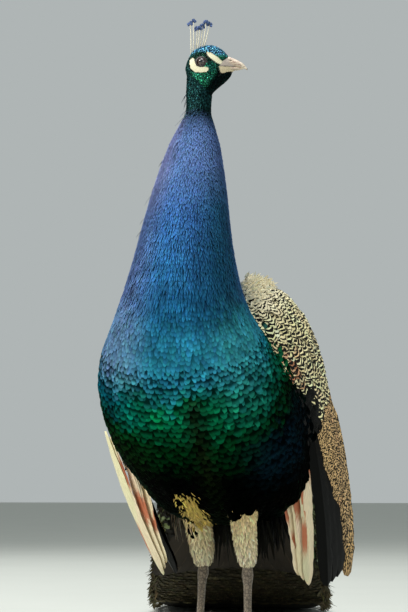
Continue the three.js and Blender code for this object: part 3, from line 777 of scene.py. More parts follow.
# Painted shade, olive, at the top of the thighs, under the belly.
THIGH_TOP_SHADE = ink(180, 152, 48)
TUFT_GAPS = (lambda share: 3.6, lambda share: 2.7)  # from row to row, and within a row
down_finish = feather_finish("thigh down", 0, 0.8, root=(0.2, 0.9), painted_root_shade=0.6, dark_rim=0.1, sheen=0.3,
                             sheen_tint=(1, 0.95, 0.85), barbs=6)
for side, (leg_x, hock_y) in LEGS.items():
    turn = math.copysign(1, leg_x)
    grow, fluff, top, top_shade_share = (1.12, 1.6, 0.1, 0.85) if side == "right" else (1, 1, 0.22, 0.3)
    thigh_row = track([
        [leg_x + turn * 6, hock_y - 78, 262, 34 * grow, 38 * grow],
        [leg_x + turn * 3, hock_y - 48, 218, 22 * grow, 27 * grow],
        [leg_x, hock_y - 24, 184, 19, 21], [leg_x, hock_y - 8, 156, 17.5, 18],
        [leg_x, hock_y, HOCK_Z + 2, 12, 12.5],
    ])

    def thigh_point(share, angle):
        x, y, z, wide, deep = thigh_row(share)
        return np.stack([x + np.sin(angle) * wide, y - np.cos(angle) * deep, z], axis=-1)

    share, angle = rows_round(thigh_point, top, 0.97, *TUFT_GAPS)
    points, lies = thigh_point(share, angle), lie_of(thigh_point, share, angle)
    if side == "right":
        high, round_it = rows_round(body_point, 0.7, 0.92, *TUFT_GAPS)
        high, round_it = only(thigh_bare(body_point(high, round_it)) > 0.1, high, round_it)
        points = np.concatenate([points, body_point(high, round_it)])
        lies = np.concatenate([lies, lie_of(body_point, high, round_it)])
        share, angle = np.concatenate([share, np.full(len(high), top)]), np.concatenate([angle, round_it])
    lines, kept = lay(points, lies, rng.uniform(9, 15, len(share)) * fluff,
                      rng.uniform(1.2, 4.5, len(share)) * fluff, splay=0.3)
    share, angle, points = only(kept, share, angle, points)
    pale = smoothstep(share, 0.2, 0.9)[:, None]
    # Painted shade, olive, at the top of the thigh, stronger on the right thigh.
    top_shade = smoothstep(share, 0.45, 0.15)[:, None] * top_shade_share
    shade = blend(blend(BUFF, BUFF_GREY, pale), THIGH_TOP_SHADE, top_shade)
    coat_roots.append(points)
    coat_shades.append(shade)
    patches = bake_places(angle / FULL_TURN, share)
    mesh = vanes(f"down_thigh_{side}", lines, 3.0, scattered(shade, 0.22, 0.04), patches, LANCET, thick=0.5)
    piece_of(mesh, f"down_thigh_{side}", "thigh_down", down_finish)

# ---------------------------------------------------------------- wing coverts and scapulars
# The pad of short feathers over each shoulder and forearm: cream, closely barred with wavy black,
# some washed with chestnut along the front edge, and black ones where the long feathers begin.
COVERT_PAD = [  # x, y, z, half chord, half thickness
    [62, -30, 548, 10, 8], [81, -6, 528, 44, 20], [101, 28, 488, 70, 32], [115, 66, 442, 80, 36],
    [130, 106, 388, 76, 29], [144, 142, 332, 58, 17], [153, 168, 290, 34, 8],
]
WING_FACE = unit(np.array([0.93, -0.25, 0.25]))  # the way the outside of the left wing looks
WING_RUN = unit(np.array([0.14, 0.45, -0.88]))  # from its shoulder to its tips
WING_CHORD = unit(np.cross(WING_RUN, WING_FACE))  # towards its front edge
SIDES = {"left": 1, "right": -1}
CREAM = ink(255, 238, 184)
PAD_WHITE = ink(255, 242, 208)
BAR_BLACK = ink(9, 7, 5)
CHESTNUT = ink(184, 92, 54)
WING_BLACK = ink(5, 5, 4)
PAD_SIZE = [0, 0.3, 1], [0.75, 1, 1.35]  # shares down the pad, and how large its feathers are there
covert_row = track(COVERT_PAD)


def barred_finish(name, bars, coarse, low, high):
    """Cream feathers with wavy dark bars across each vane, set apart by each feather's chance number.
    The bars are as wide as the part of the wave above low, and end softly by high."""
    made, dye, shader = finish(name, Specular_IOR_Level=0.2)
    shade, chance, across, along = vane_maps(dye)
    out = across.away()
    wobble = dye.streaks(across * 3 + chance * 40, along * (bars * 0.6) + chance * 17, detail=1.0)
    phase = (along + out * out * 0.22) * (bars * 6.283) + wobble * coarse + chance * 20
    bar = (phase.sine() + wobble.away() * 0.5).step(low, high)
    bar.mixed(shade.lit(wobble * 0.7 + 0.65), (*BAR_BLACK, 1)).into(shader, "Base Color")
    (wobble * 0.2 + 0.55).into(shader, "Roughness")
    ((along - out * 0.2) * 170).sine().bump(0.2, 0.0003).into(shader, "Normal")
    return made


def pad_point(share, angle, mirror):
    """A point of a pad's surface: share 0 is the shoulder, angle 0 its outside, a quarter turn its front."""
    x, y, z, chord, deep = covert_row(share)
    middle = np.stack([x, y, z], axis=-1)
    forward = WING_CHORD * (np.sin(angle) * chord)[..., None]
    return (middle + forward + WING_FACE * (np.cos(angle) * deep)[..., None]) * np.array([mirror, 1, 1])


covert_finish = barred_finish("barred coverts", 3.0, 4.0, -0.35, -0.2)
pale_covert_finish = barred_finish("pale coverts", 3.4, 4.0, 0.3, 0.5)
black_finish = feather_finish("black wing feathers", 0, 0.5, shaft=0.03, painted_root_shade=0.8, dark_rim=0.2, sheen=0,
                              barbs=60, spread=0.3, gloss=0.08)
for side, mirror in SIDES.items():

    def covert_point(share, angle):
        return pad_point(share, angle, mirror)

    share, angle = rows_round(covert_point, 0.02, 0.97, lambda s: 7.6, lambda s: 8.2)
    points = covert_point(share, angle)
    long, lift = 23 * np.interp(share, *PAD_SIZE), 3.6 * rng.uniform(0.5, 1.5, len(points))
    lines, kept = lay(points, lie_of(covert_point, share, angle), long, lift, splay=0.28)
    share, angle, points = only(kept, share, angle, points)
    front = np.sin(angle)
    dark = (front > 0.35) & (share > 0.56) | (front > 0.75) & (share > 0.5)
    rusty = smoothstep(front, 0.35, 0.8) * smoothstep(share, 0.3, 0.42) * (rng.random(len(share)) < 0.55)
    # Painted light: the top of the pad, which faces up to the light, is painted white.
    white = smoothstep(share, 0.3, 0.08)[:, None]
    shade = blend(scattered(blend(CREAM, CHESTNUT, rusty[:, None] * 0.85), 0.12, 0.02), PAD_WHITE, white)
    coat_roots.append(points)
    # Under the pad, the hide is darkened as painted shade between the feathers.
    coat_shades.append(np.where(dark[:, None], WING_BLACK, shade * 0.4))
    wide = 14 * np.interp(share, *PAD_SIZE)
    patches = bake_places(angle / FULL_TURN, share, 0.02)
    pale = ~dark & (share + rng.normal(0, 0.12, len(share)) < 0.25)
    for name, chosen, slot_name, material in (("coverts", ~dark & ~pale, "barred_feathers", covert_finish),
                                              ("pale_coverts", pale, "barred_feathers", pale_covert_finish),
                                              ("black_coverts", dark, "black_feathers", black_finish)):
        tone = shade[chosen]
        if name == "black_coverts":
            tone = scattered(np.tile(WING_BLACK, (len(tone), 1)), 0.2)
        mesh = vanes(f"plumage_wing_{side}_{name}", only(chosen, *lines), wide[chosen], tone, patches[chosen],
                     SCALE, thick=0.8, patch=(0.016, 0.016))
        piece_of(mesh, f"plumage_wing_{side}_{name}", slot_name, material)

# Soft white down stands up where each pad meets the back of the neck.
DOWN_COUNT = 420
DOWN_OUT = 0.7, 0.1, 0.1  # the way it stands on the left wing
white_down_finish = feather_finish("white down", 0, 0.8, root=(0.1, 0.5), painted_root_shade=0.95, dark_rim=0,
                                   sheen=0.3, sheen_tint=(1, 0.98, 0.92), barbs=6)
for side, mirror in SIDES.items():
    share, angle = rng.uniform(0.01, 0.17, DOWN_COUNT), rng.uniform(-1.7, 1.7, DOWN_COUNT)
    points = pad_point(share, angle, mirror)
    ways = unit(np.array(DOWN_OUT) * (mirror, 1, 1) + rng.normal(0, 0.4, points.shape))
    tips = points + ways * rng.uniform(4, 12, DOWN_COUNT)[:, None]
    ups = np.tile([0, -1.0, 0.2], (DOWN_COUNT, 1))
    patches = bake_places(angle / FULL_TURN + 0.5, share * 8, 0.02)
    mesh = vanes(f"down_wing_{side}", [points, (points + tips) / 2, tips, ups, ups], 2.2,
                 scattered(np.tile(PAD_WHITE, (DOWN_COUNT, 1)), 0.05), patches, LANCET, thick=0.3)
    piece_of(mesh, f"down_wing_{side}", "thigh_down", white_down_finish)

# ---------------------------------------------------------------- long wing feathers
# The flight feathers hang below the pad: cream and chestnut primaries inside, glossy black
# secondaries over them, and barred tertials outermost. Each has a pale quill and a combed vane.
WRIST = np.array([-158, 0, 285])  # the right wing's long feathers are drawn in about this point
RIGHT_TUCK = math.radians(20)
WIDE_SECTION = ((-1, 0), (-0.55, 0.3), (-0.08, 0.55), (0, 1), (0.08, 0.55), (0.55, 0.3), (1, 0))
LAYERS = {  # first and last root, first and last tip, widths, how many, the way they face, sag, quill
    "tertials": dict(roots=((150, 150, 400), (146, 98, 372)), tips=((173, 236, 112), (160, 166, 228)),
                     wide=(36, 34), count=7, face=(0.78, -0.6, 0.08), sag=30, quill=0.7),
    "secondaries": dict(roots=((142, 128, 356), (134, 80, 372)), tips=((164, 206, 120), (150, 158, 102)),
                        wide=(40, 34), count=9, face=(0.8, -0.58, 0.1), sag=20, quill=0.8),
    "primaries": dict(roots=((131, 74, 336), (94, 88, 262)), tips=((131, 124, 106), (116, 110, 124)),
                      wide=(20, 17), count=8, face=(0.8, -0.58, 0.1), sag=14, quill=0.3),
}
RIGHT_SHIFT = {"tertials": 16, "secondaries": 12, "primaries": -21}  # and moved along X by these
RIGHT_FAN = {"tertials": 1, "secondaries": 1, "primaries": 1.5}  # and this much wider
STAGGER = 1.8  # every third feather lies this much higher than the one before it
TERTIAL_BUFF = ink(228, 190, 134)
PRIMARY_CREAM = ink(236, 222, 184)


def stain(*colour):
    """The same as ink, with an alpha, for a colour socket."""
    return (*ink(*colour), 1)


def long_outline(quill, rows=26, rounding=0.86):
    """How wide a long feather is along its length: a broad vane that rounds off at its tip."""
    places = np.linspace(0, 0.985, rows)
    wide = np.minimum(1, quill + 2.4 * places)
    end = np.clip((places - rounding) / (1 - rounding), 0, 1)
    return list(zip(places, wide * np.sqrt(np.maximum(0.02, 1 - end**2))))


def cells(count):
    """Bake patches for a few large feathers: one tall cell each, side by side, and how big a cell is."""
    return np.stack([(np.arange(count) + 0.5) / count, np.full(count, 0.5)], axis=-1), (0.92 / count, 0.94)


def primary_finish():
    """Cream vanes with a chestnut web to one side of the quill, which is bare and nearly white."""
    made, dye, shader = finish("cream primaries", Specular_IOR_Level=0.3)
    shade, chance, across, along = vane_maps(dye)
    out = across.away()
    streak = dye.streaks(across * 5 + chance * 30, (along - out * 0.12) * 34, detail=3.0)
    beyond = along - chance * 0.7 + streak * 0.1
    web = beyond.step(0.0, 0.1) * (1 - beyond.step(0.2, 0.34))
    web = web * (out + streak * 0.3).step(0.15, 0.3) * chance.step(0.1, 0.12)
    colour = (web * 0.9).mixed(shade.lit(streak * 0.5 + 0.75), (*CHESTNUT, 1))
    (1 - out.step(0.03, 0.07)).mixed(colour, stain(236, 224, 190)).into(shader, "Base Color")
    (streak * 0.2 + 0.5).into(shader, "Roughness")
    ((along - out * 0.12) * 420).sine().bump(0.25, 0.0004).into(shader, "Normal")
    return made


def mottled_finish():
    """Buff vanes broken up by ragged black-brown blotches, a few millimetres long."""
    made, dye, shader = finish("mottled tertials", Specular_IOR_Level=0.15)
    shade, chance, across, along = vane_maps(dye)
    out = across.away()
    speck = dye.streaks(across * 9 + chance * 40, (along - out * 0.04) * 72, Roughness=0.6)
    light = shade.lit(dye.streaks(across * 2 + chance * 90, along * 20) * 1.6 + 0.1)
    speck.step(0.45, 0.53).mixed(light, (*BAR_BLACK * 2, 1)).into(shader, "Base Color")
    (speck * 0.2 + 0.55).into(shader, "Roughness")
    ((along - out * 0.12) * 420).sine().bump(0.25, 0.0004).into(shader, "Normal")
    return made


LONG_FINISH = {
    "tertials": (mottled_finish(), TERTIAL_BUFF, "barred_feathers"),
    "secondaries": (black_finish, WING_BLACK, "black_feathers"),
    "primaries": (primary_finish(), PRIMARY_CREAM, "cream_primaries"),
}
for side in SIDES:
    for name, form in LAYERS.items():
        count = form["count"]
        share = np.linspace(0, 1, count)[:, None] + rng.uniform(-0.03, 0.03, (count, 1))
        roots, tips = (blend(*np.array(form[end]), share) for end in ("roots", "tips"))
        face = unit(np.array(form["face"]))
        stagger = (np.arange(count) % 3)[:, None] * STAGGER
        middles = (roots + tips) / 2 + face * form["sag"] / 2 + face * stagger
        ups = np.tile(face, (count, 1))
        lines = [roots + face * stagger, middles, tips + face * stagger]
        wide = blend(*form["wide"], share[:, 0])
        if side == "right":
            c, s = math.cos(RIGHT_TUCK), math.sin(RIGHT_TUCK)
            tuck = np.array([[c, 0, -s], [0, 1, 0], [s, 0, c]])
            flip = np.array([-1, 1, 1])
            shift = np.array([RIGHT_SHIFT[name], 0, 0])
            lines = [(line * flip + shift - WRIST) @ tuck.T + WRIST for line in lines]
            ups = (ups * flip) @ tuck.T
            wide = wide * RIGHT_FAN[name]
        material, tone, slot_name = LONG_FINISH[name]
        patches, patch = cells(count)
        shade = scattered(np.tile(tone, (count, 1)), 0.08, 0.03)
        mesh = vanes(f"wing_feathers_{side}_{name}", [*lines, ups, ups], wide, shade, patches,
                     long_outline(form["quill"]), section=WIDE_SECTION, thick=1.3, camber=0.14, ragged=0.22,
                     patch=patch)
        piece_of(mesh, f"wing_feathers_{side}_{name}", slot_name, material, f"wing_{side}_{name}")

# ---------------------------------------------------------------- tail
# The stiff true tail under the train: a fan of plain brown feathers, rooted in the end of the
# trunk, that props the train up. Each has a strong quill and a close vane.
RUMP_Y = 150
TRAIN_SWING = -0.205  # how far the train drifts aside for each millimetre of its length
TAIL_COUNT = 11
TAIL_BROWN = ink(44, 36, 26)


def swung(y):
    """How far the train's middle has drifted to the bird's right at a distance back."""
    return TRAIN_SWING * np.maximum(0, y - RUMP_Y - 60)


brown_finish = feather_finish("tail feathers", 0, 0.7, shaft=0.05, painted_root_shade=0.8, dark_rim=0.3, sheen=0,
                              barbs=90, gloss=0.15)
fan, zero = np.linspace(-1, 1, TAIL_COUNT), np.zeros(TAIL_COUNT)
roots = np.stack([fan * 26, 205 + zero, 266 - 6 * fan**2 + (np.arange(TAIL_COUNT) % 2)], axis=-1)
tips = np.stack([fan * 112 + swung(590), 590 - 60 * fan**2 + 40 * fan, 112 - 10 * fan**2], axis=-1)
ups = unit(np.stack([fan * 0.2, 0.45 + zero, 1 + zero], axis=-1))
patches, patch = cells(TAIL_COUNT)
mesh = vanes("tail_feathers", [roots, (roots + tips) / 2 - ups * 4, tips, ups, ups], 46,
             scattered(np.tile(TAIL_BROWN, (TAIL_COUNT, 1)), 0.1), patches, long_outline(0.5),
             section=WIDE_SECTION, thick=1.4, camber=0.1, ragged=0.15, patch=patch)
piece_of(mesh, "tail_feathers", "brown_feathers", brown_finish, "tail")

# ---------------------------------------------------------------- train, its under layers
# The hidden lower layers of the long train coverts, which lie so close that they read as one fibrous body, dark
# brown and painted darker still as shade. The rows of eyed feathers lie on it.
TRAIN = [  # share of the length, z, half width, half thickness
    [0, 346, 62, 18], [0.07, 334, 100, 40], [0.15, 282, 118, 44], [0.25, 214, 132, 40],
    [0.36, 152, 146, 34], [0.49, 97, 160, 29], [0.63, 54, 172, 24], [0.78, 23, 176, 18],
    [0.9, 10, 160, 13], [0.97, 5, 122, 9], [1, 3, 60, 5],
]
TRAIN_LENGTH = 1330
TRAIN_NODES = "train_base", "train_middle", "train_end"
TRAIN_SHARES = [row[0] for row in TRAIN]
TRAIN_BROWN_SHADED = ink(26, 25, 14)
UNDER_DEPTH = 2.5  # how deep under the CAD surface they lie
train_row = track(TRAIN)


def train_point(run, angle):
    """A point of the train's surface: run 0 is the rump and 1 the tips, angle 0 is its upper middle."""
    run = np.asarray(run, float)
    spot = np.interp(run, TRAIN_SHARES, np.linspace(0, 1, len(TRAIN_SHARES)))
    along, z, wide, thick = train_row(spot)
    across, up = np.sin(angle), np.cos(angle)
    y = RUMP_Y + along * TRAIN_LENGTH
    arch = 1 - np.sqrt(np.maximum(0, 1 - 0.75 * across**2))
    high = z + np.sign(up) * np.abs(up) ** 0.7 * thick - arch * thick * 0.9
    return np.stack([swung(y) + across * wide, y, high], axis=-1)


def train_ways(run, angle):
    """At points of the train's surface: the way towards its tips, and the way round it."""
    return (train_point(run + 0.004, angle) - train_point(run - 0.004, angle),
            train_point(run, angle + 0.01) - train_point(run, angle - 0.01))


core = welded(merged(TRAIN_NODES), 7 * MM)
evened(core, 4)
for vertex in core.verts:
    vertex.co -= vertex.normal * UNDER_DEPTH * MM
    vertex.co.z = max(vertex.co.z, 0.4 * MM)
core_finish, dye, shader = finish("train under layers", Specular_IOR_Level=0.1)
combed = {"Vector": dye.place(), "Rotation": (0, 0, 0.2), "Scale": (400, 24, 200)}
fibre = dye.node("Mapping", {}, combed).noise()
# Dark brown fibres, painted near black as shade, since this underside lies under the bird.
fibre.step(0.3, 0.75).mixed((*(TRAIN_BROWN_SHADED * 0.4), 1), (*(TRAIN_BROWN_SHADED * 1.6), 1)).into(shader, "Base Color")
(fibre * 0.2 + 0.5).into(shader, "Roughness")
fibre.bump(0.6, 0.001).into(shader, "Normal")
piece_of(core, "train_under_layers", "bronze_train", core_finish, *TRAIN_NODES)

# ---------------------------------------------------------------- train, its underside
# The backs of the lowest train coverts, seen from in front under the belly: plain dull brown vanes
# with pale quills, laid like tiles from the rump to where the train meets the ground.
UNDER_BROWN = ink(40, 34, 22)
UNDER_PALE = ink(96, 88, 62)
under_finish = feather_finish("train undersides", 0, 0.75, shaft=0.05, painted_root_shade=0.5, dark_rim=0.2, sheen=0,
                              barbs=40, gloss=0.1)


def from_top(angle):
    """How far round the train an angle is from its upper middle, up to pi."""
    return np.abs((angle + math.pi) % FULL_TURN - math.pi)


share, angle = rows_round(train_point, 0.05, 0.62, lambda s: 24, lambda s: 13)
share, angle = only(from_top(angle) > 1.3, share, angle)
points = train_point(share, angle)
step, round_step = train_ways(share, angle)
normals = unit(np.cross(step, round_step))
lies = turned(unit(step), normals, rng.normal(0, 0.1, len(share)))
tips = points + lies * rng.uniform(55, 80, len(share))[:, None] + normals * 1.5
tips[:, 2] = np.maximum(tips[:, 2], 2)
middles = (points + tips) / 2 - normals * 0.5
# Painted shade: darker near the rump, under the belly, and lighter towards the tips.
shade = scattered(graded(share, [(0.25, UNDER_BROWN * 0.6), (0.6, UNDER_PALE)]), 0.25, 0.05)
mesh = vanes("train_undersides", [points - normals * 3, middles, tips, normals, normals], 19, shade,
             bake_places(angle / FULL_TURN, share), SCALE, thick=0.5)
piece_of(mesh, "train_undersides", "brown_feathers", under_finish)

# Loose barbs stand out along both edges of the train, and soften its outline.
FRINGE_COUNT = 1500
FRINGE_LONG = 20, 36
FRINGE_LOW = 5, 3  # the least height above the ground of a root and of a tip
share = rng.uniform(0.04, 0.93, FRINGE_COUNT)
hand = np.where(rng.random(FRINGE_COUNT) < 0.5, -1, 1)
angle = hand * rng.uniform(1.25, 1.95, FRINGE_COUNT)
points = train_point(share, angle)
step, _ = train_ways(share, angle)
aside = np.stack([hand * 0.3, np.zeros(FRINGE_COUNT), np.full(FRINGE_COUNT, -0.15)], axis=-1)
lies = unit(unit(step) + aside + rng.normal(0, 0.12, points.shape))
tips = points + lies * rng.uniform(*FRINGE_LONG, FRINGE_COUNT)[:, None]
for ends, low in zip((points, tips), FRINGE_LOW):
    ends[:, 2] = np.maximum(ends[:, 2], low)
ups = np.tile([0, 0, 1.0], (FRINGE_COUNT, 1))
# Painted shade: darker near the rump, as on the undersides.
shade = scattered(graded(share, [(0.2, UNDER_BROWN), (0.6, UNDER_PALE)]), 0.3, 0.1)
mesh = vanes("train_fringe", [points, (points + tips) / 2, tips, ups, ups], 3.2, shade,
             bake_places(0.5 + hand * 0.25, share), LANCET, thick=0.4)
piece_of(mesh, "train_fringe", "brown_feathers", under_finish)

# ---------------------------------------------------------------- train, scales over the rump
# The shortest train coverts: overlapping bronze-green scales with copper rims, from the back down
# to where the eyed feathers start. They grow larger along the way.
SCALE_END = 0.34  # as a share of the train
SCALE_SHADES = [(0, BACK_BRONZE), (0.2, ink(96, 108, 44)), (0.34, ink(60, 96, 48))]
scale_finish = feather_finish("rump scales", 0.5, 0.36, painted_root_shade=0.15, dark_rim=0.6, sheen=0.1,
                              sheen_tint=(0.9, 0.8, 0.3), barbs=24)
share, angle = rows_round(train_point, 0.012, SCALE_END, lambda s: 9 + 14 * s, lambda s: 9 + 22 * s)
share, angle = only(from_top(angle) < 1.9, share, angle)
points = train_point(share, angle)
step, round_step = train_ways(share, angle)
normals = unit(np.cross(round_step, step))
normals *= np.sign(np.sum(normals * (points - train_point(share, angle + math.pi)), axis=1, keepdims=True))
lies = turned(unit(step), normals, rng.normal(0, 0.08, len(share)))
roots = points - normals * 2.5
tips = points + lies * (22 + 44 * share)[:, None] + normals * 1.8
middles = (roots + tips) / 2 + normals * 1.2
shade = scattered(graded(share + rng.normal(0, 0.04, len(share)), SCALE_SHADES), 0.2, 0.1)
mesh = vanes("train_scales", [roots, middles, tips, normals, normals], 15 + 34 * share, shade,
             bake_places(angle / FULL_TURN, share), SCALE, thick=0.8)
piece_of(mesh, "train_scales", "bronze_train", scale_finish)

# ---------------------------------------------------------------- train, eyed feathers
# Some 150 long coverts in staggered rows. Each is a pale quill with loose bronze-green barbs, and
# ends in an eye: a blue heart in a turquoise disc, ringed with bronze, gold and green.
EYE_ROWS = 21
EYE_FIRST, EYE_LAST = 0.2, 0.965
EYE_LONG, EYE_WIDE, EYE_GAP = 40, 34, 40  # millimetres
BARB_STRETCH = 210  # how much of each feather shows beyond the row before it
BARB_STEP = 7.5
CONVERGE = 0.9  # the feathers of one fan draw together towards the rump
OVAL_PLACES = 0.012, 0.08, 0.2, 0.36, 0.5, 0.64, 0.8, 0.92, 0.985
OVAL = [(t, math.sqrt(max(0.03, 1 - (2 * t - 1) ** 2))) for t in OVAL_PLACES]
QUILL_CREAM = ink(214, 206, 172)
BARB_GREEN = ink(66, 92, 40)
BARB_COPPER = ink(132, 92, 48)


def half_width_at(run):
    return np.interp(run, TRAIN_SHARES, [row[2] for row in TRAIN])


eye_runs, eye_turns = [], []
for row in range(EYE_ROWS):
    run = EYE_FIRST + (EYE_LAST - EYE_FIRST) * row / (EYE_ROWS - 1)
    count = int(half_width_at(run) * 2 / EYE_GAP) + row % 2
    across = (np.arange(count) + 0.5) / count * 2 - 1
    eye_runs.append(run + rng.uniform(-0.012, 0.012, count))
    eye_turns.append(np.arcsin(np.clip(across + rng.uniform(-0.04, 0.04, count), -0.94, 0.94)))
eye_runs, eye_turns = np.concatenate(eye_runs), np.concatenate(eye_turns)


def train_lay(run, turn, height):
    """Points on the train's upper surface, raised by a height; and its normals there."""
    step, over = train_ways(run, turn)
    normal = unit(np.cross(over, step))
    normal *= np.where(normal[:, 2:] < 0, -1, 1)
    return train_point(run, turn) + normal * np.broadcast_to(height, run.shape)[:, None], normal


train_eye_finish, dye, shader = finish("train eyes", Sheen_Weight=0.1, Metallic=0.45, Specular_IOR_Level=0.5)
_, _, vane, along = vane_maps(dye)
east, north = vane * 2 - 1, along * 2 - 1
radius = (east * east * (1 - north * north) + north * north) ** 0.5
notch = (1 - vane.away().step(0.0, 0.28)) * north.step(0.02, 0.3) * 0.22
ring = dye.node("ValToRGB", {"stops": [
    (0.0, ink(28, 26, 92)), (0.28, ink(22, 34, 110)), (0.33, ink(24, 150, 170)), (0.5, ink(30, 168, 160)),
    (0.56, ink(122, 78, 34)), (0.74, ink(134, 88, 36)), (0.79, ink(196, 160, 60)), (0.84, ink(96, 130, 50)),
    (0.93, ink(120, 96, 40)), (1.0, ink(70, 96, 48))]}, {0: radius + notch})
rays = dye.streaks(vane * 24, (along - vane.away() * 0.3) * 30)
ring.lit(rays * 0.6 + 0.7).into(shader, "Base Color")
(rays * 0.2 + 0.26).into(shader, "Roughness")
rays.bump(0.3, 0.0004).into(shader, "Normal")
layer_lift = 1.2 + 5.5 * (1 - eye_runs)
half_long = EYE_LONG / 2 / TRAIN_LENGTH
roots, ups = train_lay(eye_runs - half_long, eye_turns, layer_lift)
middles, _ = train_lay(eye_runs, eye_turns, layer_lift + 0.8)
tips, tip_ups = train_lay(eye_runs + half_long, eye_turns, layer_lift)
index, grid = np.arange(len(eye_runs)), math.ceil(math.sqrt(len(eye_runs)))
patches = np.stack([index % grid + 0.5, index // grid + 0.5], axis=-1) / grid
mesh = vanes("train_eyes", [roots, middles, tips, ups, tip_ups], EYE_WIDE, np.ones((len(index), 3)), patches,
             OVAL, section=WIDE_SECTION, thick=0.7, camber=0.04, patch=(0.9 / grid, 0.9 / grid))
piece_of(mesh, "train_eyes", "bronze_train", train_eye_finish)

quill_finish = feather_finish("train quills", 0, 0.5, painted_root_shade=0.9, dark_rim=0.1, sheen=0, barbs=4,
                              spread=0.2)
stretch = BARB_STRETCH / TRAIN_LENGTH
starts = np.maximum(eye_runs - stretch, 0.03)
roots, ups = train_lay(starts, eye_turns * CONVERGE, layer_lift * 0.4)
middles, _ = train_lay((starts + eye_runs) / 2, eye_turns * (1 + CONVERGE) / 2, layer_lift * 0.8)
tips, tip_ups = train_lay(eye_runs - half_long * 0.9, eye_turns, layer_lift)
patches, patch = cells(len(eye_runs))
quill_outline = [(t, 1 - 0.5 * t) for t in np.linspace(0, 0.98, 8)]
mesh = vanes("train_quills", [roots, middles, tips, ups, tip_ups], 1.8, np.tile(QUILL_CREAM, (len(index), 1)),
             patches, quill_outline, thick=1.0, camber=0, patch=patch)
piece_of(mesh, "train_quills", "bronze_train", quill_finish)

barb_finish = feather_finish("train barbs", 0.45, 0.38, painted_root_shade=0.5, dark_rim=0.2, sheen=0.15,
                             sheen_tint=(0.8, 0.9, 0.3), barbs=10)
BARB = [(0, 0.7), (0.4, 1), (0.8, 0.6)]
for half, name in ((0, "train_barbs_left"), (1, "train_barbs_right")):
    feather, run, hand = [], [], []
    for i in range(half, len(eye_runs), 2):
        places = np.arange(starts[i], eye_runs[i] + half_long * 1.3, BARB_STEP / TRAIN_LENGTH)
        for way in (-1, 1):
            feather.append(np.full(len(places), i))
            run.append(places + rng.uniform(0, 0.003, len(places)))
            hand.append(np.full(len(places), way))
    feather, run, hand = (np.concatenate(value) for value in (feather, run, hand))
    nearness = (run - starts[feather]) / (eye_runs[feather] - starts[feather])
    turn = eye_turns[feather] * blend(CONVERGE, 1, np.clip(nearness, 0, 1))
    beyond = smoothstep(nearness, 0.88, 1.08)
    long = (44 - 14 * beyond) * rng.uniform(0.8, 1.15, len(run))
    slope = np.radians(34 + rng.normal(0, 5, len(run)))
    height = layer_lift[feather] * (0.5 + 0.5 * np.clip(nearness, 0, 1)) - 0.4
    reach = hand * np.sin(slope) * long / half_width_at(run)
    end_turn = np.arcsin(np.clip(np.sin(turn) + reach, -0.995, 0.995))
    end_run = np.minimum(run + np.cos(slope) * long / TRAIN_LENGTH, 0.998)
    roots, ups = train_lay(run, turn, height)
    half_turn = np.arcsin((np.sin(turn) + np.sin(end_turn)) / 2)
    middles, _ = train_lay((run + end_run) / 2, half_turn, height + 0.7)
    tips, tip_ups = train_lay(end_run, end_turn, height - 0.3)
    copper = rng.random(len(run))[:, None] * 0.7
    shade = scattered(blend(BARB_GREEN, BARB_COPPER, copper), 0.25, 0.08)
    patches = np.stack([0.5 + np.sin(turn) * 0.49, np.clip(run, 0, 1) * 0.98 + 0.01], axis=-1)
    mesh = vanes(name, [roots, middles, tips, ups, tip_ups], 3.0, shade, patches, BARB, thick=0.4,
                 camber=0.05)
    piece_of(mesh, name, "bronze_train", barb_finish)

# ---------------------------------------------------------------- bill
# Two halves of pale horn over the jaws: the upper one ridged, hooked down at its tip and pierced by a slit
# nostril under a soft flap on each side, the slit painted dark as shade; the lower one a shallow trough that fits
# into it.
BILL_UPPER = [  # x, z, height above, height below, half width
    [34, 865, 6.5, 6, 6.2], [44, 865, 8, 6, 6.5], [52, 863.5, 6.6, 6, 5.4], [60, 861, 5, 5, 4.2],
    [67, 857.5, 3.6, 3.2, 2.6], [72.5, 852.5, 1.2, 1, 0.8],
]
BILL_LOWER = [
    [34, 855.5, 4, 4.6, 6.6], [43, 855.5, 3.6, 4.2, 6], [52, 855, 2.6, 3, 4.8], [60, 854.5, 1.7, 2, 3.4],
    [66.5, 854.3, 0.7, 0.8, 1.2],
]
NOSTRIL_X, NOSTRIL_Z = 47.5, 866
TIP_AT, NOSTRIL_AT = placed([(72, HEAD_Y, 853), (NOSTRIL_X, HEAD_Y, NOSTRIL_Z)])


def rolled(place, around, along):
    """A grid rolled into a closed tube or ring: place(share, angle) gives its points in the drawing."""
    tube = bmesh.new()
    bmesh.ops.create_grid(tube, x_segments=along, y_segments=around, size=0.5)
    share, turn = np.array([vertex.co for vertex in tube.verts])[:, :2].T + 0.5
    moved(tube, placed(place(share, turn * FULL_TURN)))
    bmesh.ops.remove_doubles(tube, verts=tube.verts, dist=0.004 * MM)
    bmesh.ops.holes_fill(tube, edges=[edge for edge in tube.edges if edge.is_boundary], sides=0)
    bmesh.ops.recalc_face_normals(tube, faces=tube.faces)
    return tube


def bill_half(rows, keel):
    """Half of the bill; a keel narrows it upwards to a ridge, and gives it its nostrils."""
    row = track(rows)

    def place(share, angle):
        x, z, above, below, wide = row(share)
        across, up = np.sin(angle), np.cos(angle)
        out = across * wide * (1 - keel * np.clip(up, 0, 1) ** 2)
        near = np.exp(-(((x - NOSTRIL_X) / 3.6) ** 2) - ((z + up * above - NOSTRIL_Z) / 1.3) ** 2) * (up > 0)
        out -= np.sign(across) * near * 1.7 * (keel > 0)
        return np.stack([x, HEAD_Y + out, z + up * np.where(up > 0, above, below)], axis=-1)

    return rolled(place, 40, 44)


horn_finish, dye, shader = finish("horn", Specular_IOR_Level=0.5, Coat_Roughness=0.3)
place = dye.place()
centred = place.vector("SUBTRACT", TIP_AT)
layers = dye.node("Mapping", {}, {"Vector": centred, "Scale": (160, 500, 500)}).noise()
